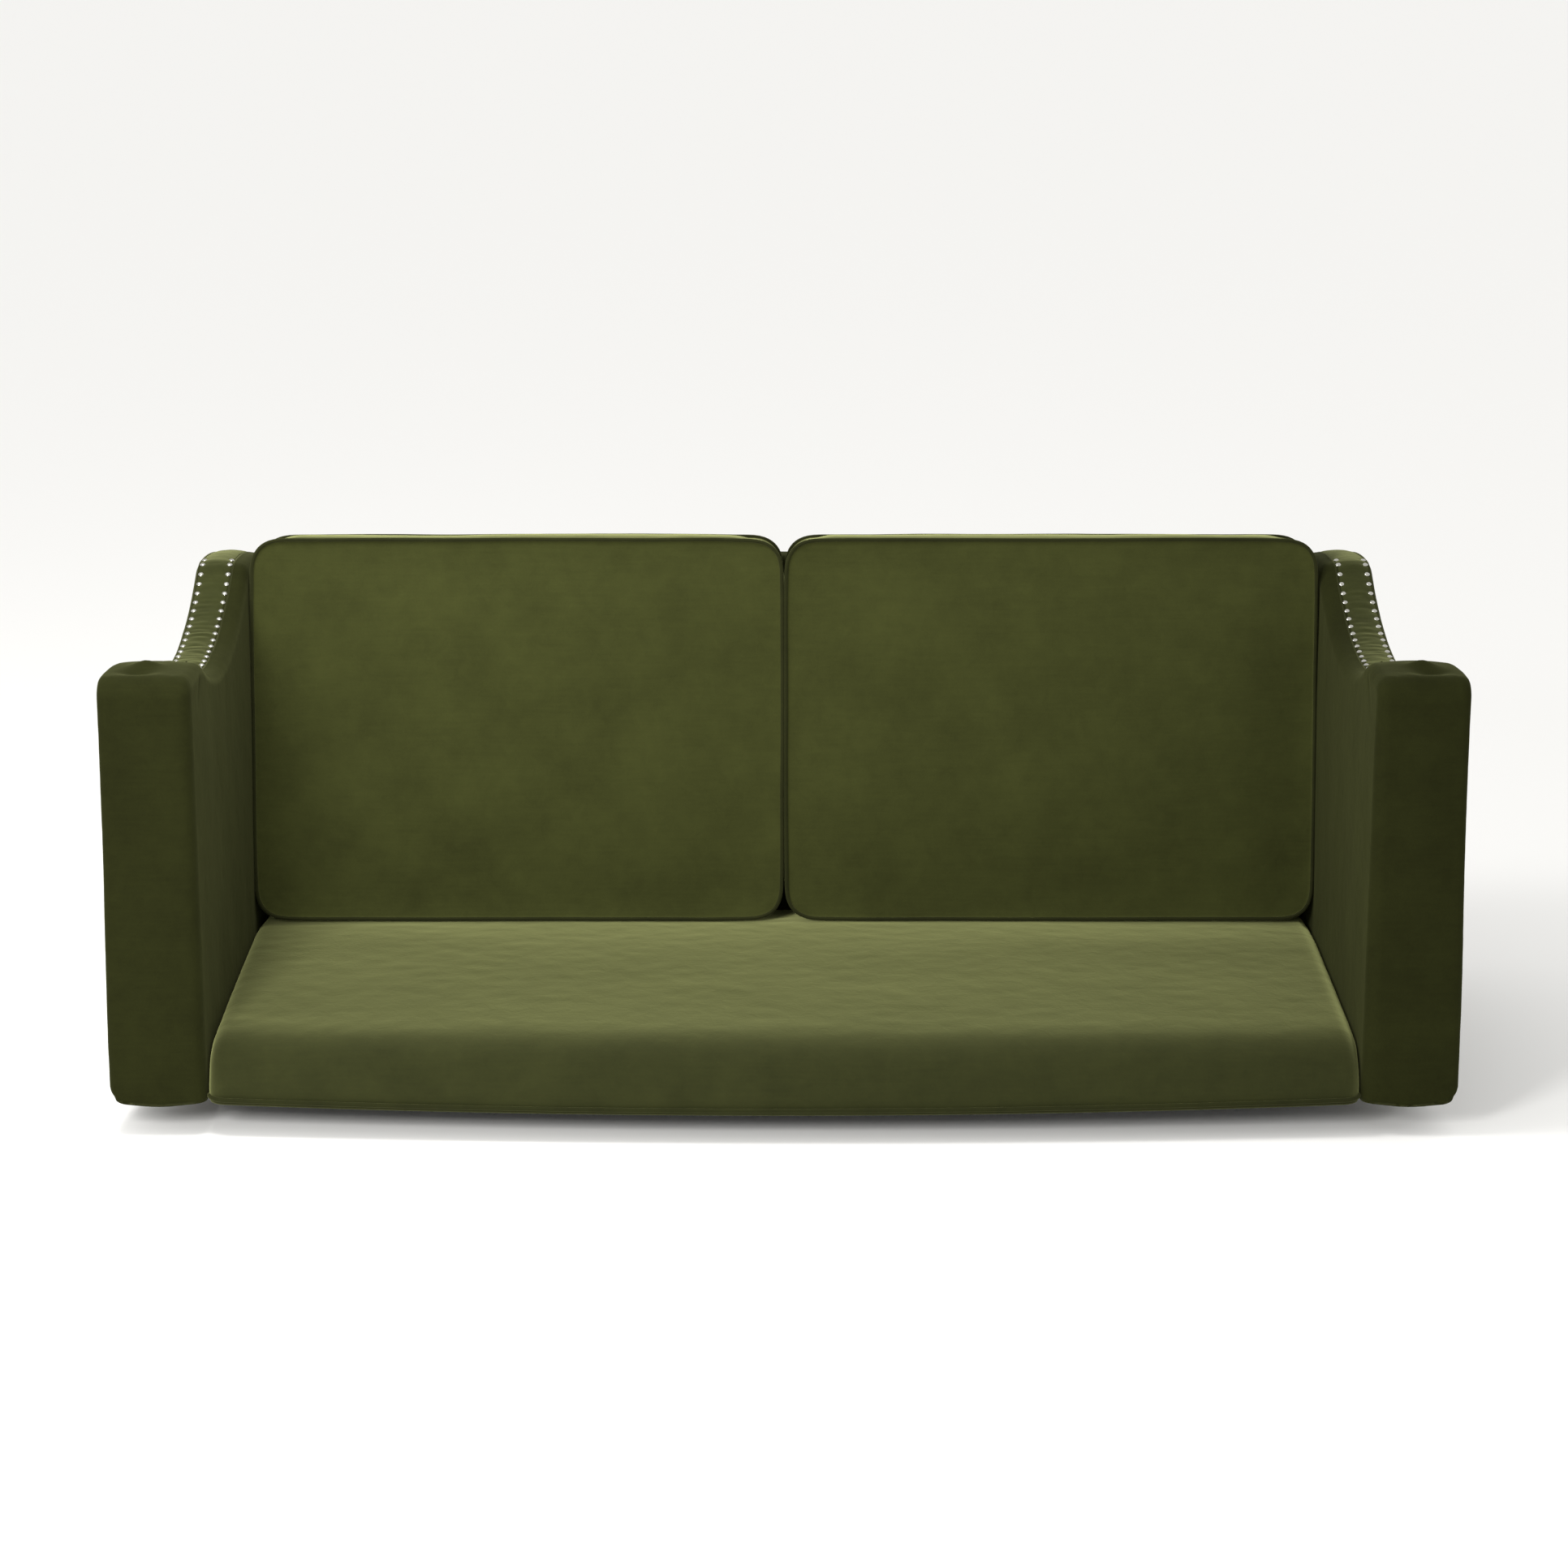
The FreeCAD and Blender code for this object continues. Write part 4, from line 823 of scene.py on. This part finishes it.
def buildBack(look):
    lean = math.radians(look["lean"])
    foot = backLow.y
    turnZ = look["leanFrom"]
    roll = look["roll"]
    frontY = foot + (backHigh.z - turnZ) * math.tan(lean)
    bend = roll * math.tan((math.pi / 2 - lean) / 2)
    fallTurn = math.degrees(math.asin((outLow.y - frontY - bend) / (roll + look["slope"])))
    rearEnd = (outLow.y, backHigh.z - (roll + look["slope"]) * (1 - math.cos(math.radians(fallTurn))))
    runs = [
        lineRun((foot, backLow.z), (foot, turnZ), (-1, 0), 20),
        lineRun((foot, turnZ), (frontY - bend * math.sin(lean), backHigh.z - bend * math.cos(lean)),
                (-math.cos(lean), math.sin(lean)), 80),
        arcRun((frontY + bend, backHigh.z - roll), roll, 180 - look["lean"], 90, count=40),
        arcRun((frontY + bend, backHigh.z - roll - look["slope"]), roll + look["slope"], 90, 90 - fallTurn),
        lineRun(rearEnd, (rearEnd[0], rearEnd[1] - mm(40)), (1, 0), 20),
    ]
    points, facing, length = joinRuns(runs)
    at = np.linspace(0, length[-1], int(length[-1] / look["step"]) + 1)
    spot, normal = sampleRun(points, facing, length, at)
    half = backHigh.x
    xs = np.linspace(-half, half, 2 * int(half / look["columnStep"]) + 1)
    grid = np.empty((len(xs), len(at), 3))
    for i, x in enumerate(xs):
        edge = smoothStep(0, mm(18), half - abs(x))
        swell = mm(2) * (1 - (x / half) ** 4) - mm(7) * (1 - edge)
        grid[i, :, 0] = x
        grid[i, :, 1:] = spot + normal * swell
    return grid, gridFaces(len(xs), len(at))


backGrid, faces = buildBack(backLook)
back = addPiece("backVelvet", backGrid.reshape(-1, 3), faces, "sofa_frame", armVelvet)
welded(back)
co = positions(back)
pushOut(back, mm(0.9) * ripple(co, mm(90), 21))
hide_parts("back_cover", "back_padding")


outsideLook = {
    # distance in from the panel's edge, and how far the cloth stands out there
    "turn": ((mm(0), mm(0)), (mm(0.2), mm(1.2)), (mm(1.0), mm(2.3)), (mm(2.4), mm(2.9)), (mm(6), mm(2.5)),
             (mm(14), mm(1.9))),
    "flat": (mm(40), mm(2.2)), "inset": mm(24), "across": 160, "upward": 60,
}


def buildOutsideBack(look):
    # a stretched panel with turned edges
    half, low, high = outHigh.x, outLow.z, outHigh.z
    steps = [t[0] for t in look["turn"]]
    inset = look["inset"]
    ends = [half - d for d in steps]
    inner = np.linspace(half - inset, -half + inset, look["across"])
    xAll = np.concatenate([ends, inner, [-x for x in ends[::-1]]])
    zAll = np.concatenate([[low + d for d in steps], np.linspace(low + inset, high - inset, look["upward"]),
                           [high - d for d in steps[::-1]]])
    gx, gz = np.meshgrid(xAll, zAll, indexing="ij")
    toEdge = np.minimum(half - np.abs(gx), np.minimum(gz - low, high - gz))
    profile = look["turn"] + (look["flat"],)
    y = outLow.y + np.interp(toEdge, [p[0] for p in profile], [p[1] for p in profile])
    verts = np.stack([gx, y, gz], axis=-1).reshape(-1, 3)
    return verts, gridFaces(len(xAll), len(zAll), flip=True)


verts, faces = buildOutsideBack(outsideLook)
outside = addPiece("outsideBackVelvet", verts, faces, "sofa_frame", armVelvet)
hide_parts("outside_back_panel")
print("back covered")

# back cushions

cushionLook = {
    "width": mm(902), "height": mm(655), "thick": mm(150), "corner": mm(46), "recline": 8.0,
    "cell": mm(10), "boxRows": 12, "crown": mm(30), "edgeFall": mm(85), "boxBelly": mm(2),
    "pressure": 3.2, "frames": 18, "cap": mm(15), "piping": mm(3.2), "settle": 0.991,
    # share of the cap that a point may use: at a seam, all over the rear and on the boxing
    "seamShare": 0.12, "rearShare": 0.7, "boxShare": 0.3, "freeFrom": mm(34), "gather": mm(0.9),
    "quality": 5, "mass": 0.35, "tension": 20, "compression": 12, "shear": 8, "bending": 0.8,
}


def evenCells(size, corner, cell):
    side = int(round(corner / cell))
    middle = int(round((size - 2 * corner) / cell))
    low = np.linspace(-size / 2, -size / 2 + corner, side + 1)
    body = np.linspace(-size / 2 + corner, size / 2 - corner, middle + 1)[1:]
    high = np.linspace(size / 2 - corner, size / 2, side + 1)[1:]
    return np.concatenate([low, body, high])


def roundCorners(a, b, look):
    # bends the square corners of the grid onto quarter circles
    flatA = look["width"] / 2 - look["corner"]
    flatB = look["height"] / 2 - look["corner"]
    da = np.abs(a) - flatA
    db = np.abs(b) - flatB
    corner = (da > 0) & (db > 0)
    far = np.hypot(da, db) + 1e-12
    scale = np.where(corner, np.maximum(da, db) / far, 1.0)
    newA = np.where(corner, np.sign(a) * (flatA + da * scale), a)
    newB = np.where(corner, np.sign(b) * (flatB + db * scale), b)
    return newA, newB


def buildCushion(look):
    a = evenCells(look["width"], look["corner"], look["cell"])
    b = evenCells(look["height"], look["corner"], look["cell"])
    ga, gb = np.meshgrid(a, b, indexing="ij")
    na, nb = len(a), len(b)
    ra, rb = roundCorners(ga, gb, look)
    toEdge = np.minimum(look["width"] / 2 - np.abs(ga), look["height"] / 2 - np.abs(gb))
    fall = 1 - np.exp(-toEdge / look["edgeFall"])
    dome = (1 - (ga / look["width"] * 2) ** 4) * (1 - (gb / look["height"] * 2) ** 4)
    crown = look["crown"] * fall * (0.55 + 0.45 * dome)
    front = np.stack([ra, rb, look["thick"] / 2 - mm(6) + crown], axis=-1)
    rear = np.stack([ra, rb, -look["thick"] / 2 + mm(6) - 0.45 * crown], axis=-1)
    ring = [(i, 0) for i in range(na)] + [(na - 1, j) for j in range(1, nb)]
    ring += [(i, nb - 1) for i in range(na - 2, -1, -1)] + [(0, j) for j in range(nb - 2, 0, -1)]
    verts = [front.reshape(-1, 3), rear.reshape(-1, 3)]
    frontRing = [i * nb + j for i, j in ring]
    rearRing = [na * nb + k for k in frontRing]
    faces = gridFaces(na, nb, 0)
    faces += gridFaces(na, nb, na * nb, flip=True)
    outline = np.array([front[i, j] for i, j in ring])
    middle = outline[:, :2]
    nextOne = np.roll(middle, -1, axis=0) - np.roll(middle, 1, axis=0)
    outward = np.stack([nextOne[:, 1], -nextOne[:, 0]], axis=1)
    outward /= np.linalg.norm(outward, axis=1)[:, None]
    rings = [frontRing]
    start = 2 * na * nb
    depth = look["thick"] - mm(12)
    for k in range(1, look["boxRows"]):
        t = k / look["boxRows"]
        swell = look["boxBelly"] * math.sin(math.pi * t)
        flat = middle + outward * swell
        verts.append(np.column_stack([flat, np.full(len(flat), depth / 2 - t * depth)]))
        rings.append([start + (k - 1) * len(ring) + q for q in range(len(ring))])
    rings.append(rearRing)
    for near, far in zip(rings, rings[1:]):
        for q in range(len(ring)):
            r = (q + 1) % len(ring)
            faces.append((near[q], far[q], far[r], near[r]))
    return np.concatenate(verts), faces, frontRing, rearRing, toEdge


def standCushion(points, centre, look):
    # local x is across, y up the cushion, z out of its face
    lean = math.radians(look["recline"])
    up = np.array((0, math.sin(lean), math.cos(lean)))
    out = np.array((0, -math.cos(lean), math.sin(lean)))
    foot = look["height"] / 2
    # sunk a little on the seat
    points = points * (1, look["settle"], 1) - (0, foot * (1 - look["settle"]), 0)
    return centre + points[:, :1] * np.array((1, 0, 0)) + points[:, 1:2] * up + points[:, 2:3] * out


def inflate(piece, look, freedom):
    # pressure fills the sewn cover; each point may only move by its share of the cap
    before = positions(piece)
    cloth = piece.modifiers.new("fill", "CLOTH")
    setup = cloth.settings
    setup.quality = look["quality"]
    setup.mass = look["mass"]
    setup.tension_stiffness = look["tension"]
    setup.compression_stiffness = look["compression"]
    setup.shear_stiffness = look["shear"]
    setup.bending_stiffness = look["bending"]
    setup.use_pressure = True
    setup.uniform_pressure_force = look["pressure"]
    setup.effector_weights.gravity = 0.0
    cloth.point_cache.frame_start = 1
    cloth.point_cache.frame_end = look["frames"]
    scene = bpy.context.scene
    for step in range(1, look["frames"] + 1):
        scene.frame_set(step)
    solved = piece.evaluated_get(bpy.context.evaluated_depsgraph_get())
    flat = np.empty(len(before) * 3, np.float32)
    solved.data.vertices.foreach_get("co", flat)
    after = flat.reshape(-1, 3).astype(float)
    piece.modifiers.clear()
    scene.frame_set(1)
    move = after - before
    far = np.linalg.norm(move, axis=1)[:, None]
    move *= np.minimum(1.0, look["cap"] * freedom[:, None] / np.maximum(far, 1e-9))
    setPositions(piece, before + move)


def smoothLoop(path, passes):
    for _ in range(passes):
        path = 0.5 * path + 0.25 * (np.roll(path, 1, axis=0) + np.roll(path, -1, axis=0))
    return path


for word, seed in (("left", 31), ("right", 47)):
    low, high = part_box(word + "_cushion_cover")
    centre = np.array((low + high) / 2)
    local, faces, frontRing, rearRing, toEdge = buildCushion(cushionLook)
    uneven = mm(2.0) * ripple(local, mm(150), seed) + mm(0.6) * ripple(local, mm(45), seed + 1)
    cushion = addPiece(word + "CushionVelvet", local, faces, None, cushionVelvet)
    pushOut(cushion, uneven)
    seamShare = cushionLook["seamShare"]
    faceFreedom = seamShare + (1 - seamShare) * (1 - np.exp(-toEdge.ravel() / cushionLook["freeFrom"]))
    boxing = np.full(len(local) - 2 * toEdge.size, cushionLook["boxShare"])
    rearFreedom = cushionLook["rearShare"] * faceFreedom
    inflate(cushion, cushionLook, np.concatenate([faceFreedom, rearFreedom, boxing]))
    local = positions(cushion)
    # gathers where the face is sewn to its welt
    near = np.zeros(len(local))
    near[:toEdge.size] = np.exp(-(toEdge.ravel() - mm(12)) ** 2 / mm(16) ** 2)
    patchy = 0.5 + 0.5 * ripple(local, mm(120), seed + 2)
    gather = cushionLook["gather"] * near * ripple(local * (1, 0.35, 1), mm(13), seed + 3) * patchy
    pushOut(cushion, gather)
    local = positions(cushion)
    subdivide = cushion.modifiers.new("smooth", "SUBSURF")
    subdivide.levels = 1
    subdivide.render_levels = 1
    setPositions(cushion, standCushion(local, centre, cushionLook))
    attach(cushion, word + "_back_cushion")
    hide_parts(word + "_cushion_cover", word + "_cushion_insert")
    welts = (("FrontWelt", word + "_cushion_front_welt", frontRing, mm(1.6)),
             ("RearWelt", word + "_cushion_rear_welt", rearRing, mm(-1.6)))
    for name, node, ring, lift in welts:
        path = smoothLoop(local[ring], 3)
        flat = path[:, :2]
        run = np.roll(flat, -1, axis=0) - np.roll(flat, 1, axis=0)
        outward = np.stack([run[:, 1], -run[:, 0]], axis=1)
        outward /= np.linalg.norm(outward, axis=1)[:, None]
        path[:, :2] += outward * mm(1.8)
        path[:, 2] += lift
        path = standCushion(path, centre, cushionLook)
        welt = tubeAlong(word + "Cushion" + name, path, cushionLook["piping"], True,
                         word + "_back_cushion", weltVelvet)
        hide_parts(node)
    print(cushion.name, "filled")

# floor, light and camera

studio = {
    "floor": "#f4f3f0", "floorSize": 120.0, "world": "#ffffff", "worldStrength": 1.0,
    "camera": (0.0, -6.1535, 2.054), "pitch": 75.5, "lens": 87.6,
    "boxes": {      # place, aim, width and depth, watts
        "overheadBox": ((-1.0, -0.6, 2.3), (-0.8, -0.3, 0.2), (0.9, 0.7), 38),
        "frontLeftBox": ((-1.35, -3.2, 1.7), (-0.6, 0.2, 0.45), (0.9, 0.9), 98),
    },
}

floorMaterial = newMaterial("paperFloor")
floorShader = addNode(floorMaterial, "ShaderNodeBsdfPrincipled",
                      {"Base Color": linearColor(studio["floor"]), "Roughness": 0.9})
finishMaterial(floorMaterial, floorShader)
reach = studio["floorSize"]
floorCorners = [(-reach, -reach, 0), (reach, -reach, 0), (reach, reach, 0), (-reach, reach, 0)]
floor = addPiece("floor", floorCorners, [(0, 1, 2, 3)], None, floorMaterial)

world = bpy.data.worlds.new("studio")
bpy.context.scene.world = world
world.use_nodes = True
world.node_tree.nodes["Background"].inputs["Color"].default_value = linearColor(studio["world"])
world.node_tree.nodes["Background"].inputs["Strength"].default_value = studio["worldStrength"]


def softBox(name, place, aim, size, power):
    light = bpy.data.lights.new(name, "AREA")
    light.shape = "RECTANGLE"
    light.size, light.size_y = size
    light.energy = power
    holder = bpy.data.objects.new(name, light)
    bpy.context.scene.collection.objects.link(holder)
    holder.location = place
    holder.rotation_euler = (Vector(aim) - Vector(place)).to_track_quat("-Z", "Y").to_euler()


for name, (place, aim, size, power) in studio["boxes"].items():
    softBox(name, place, aim, size, power)

camera = bpy.data.cameras.new("camera")
camera.lens = studio["lens"]
camera.sensor_width = 36.0
holder = bpy.data.objects.new("camera", camera)
bpy.context.scene.collection.objects.link(holder)
holder.location = studio["camera"]
holder.rotation_euler = (math.radians(studio["pitch"]), 0, 0)
bpy.context.scene.camera = holder
bpy.context.scene.view_settings.view_transform = "Standard"
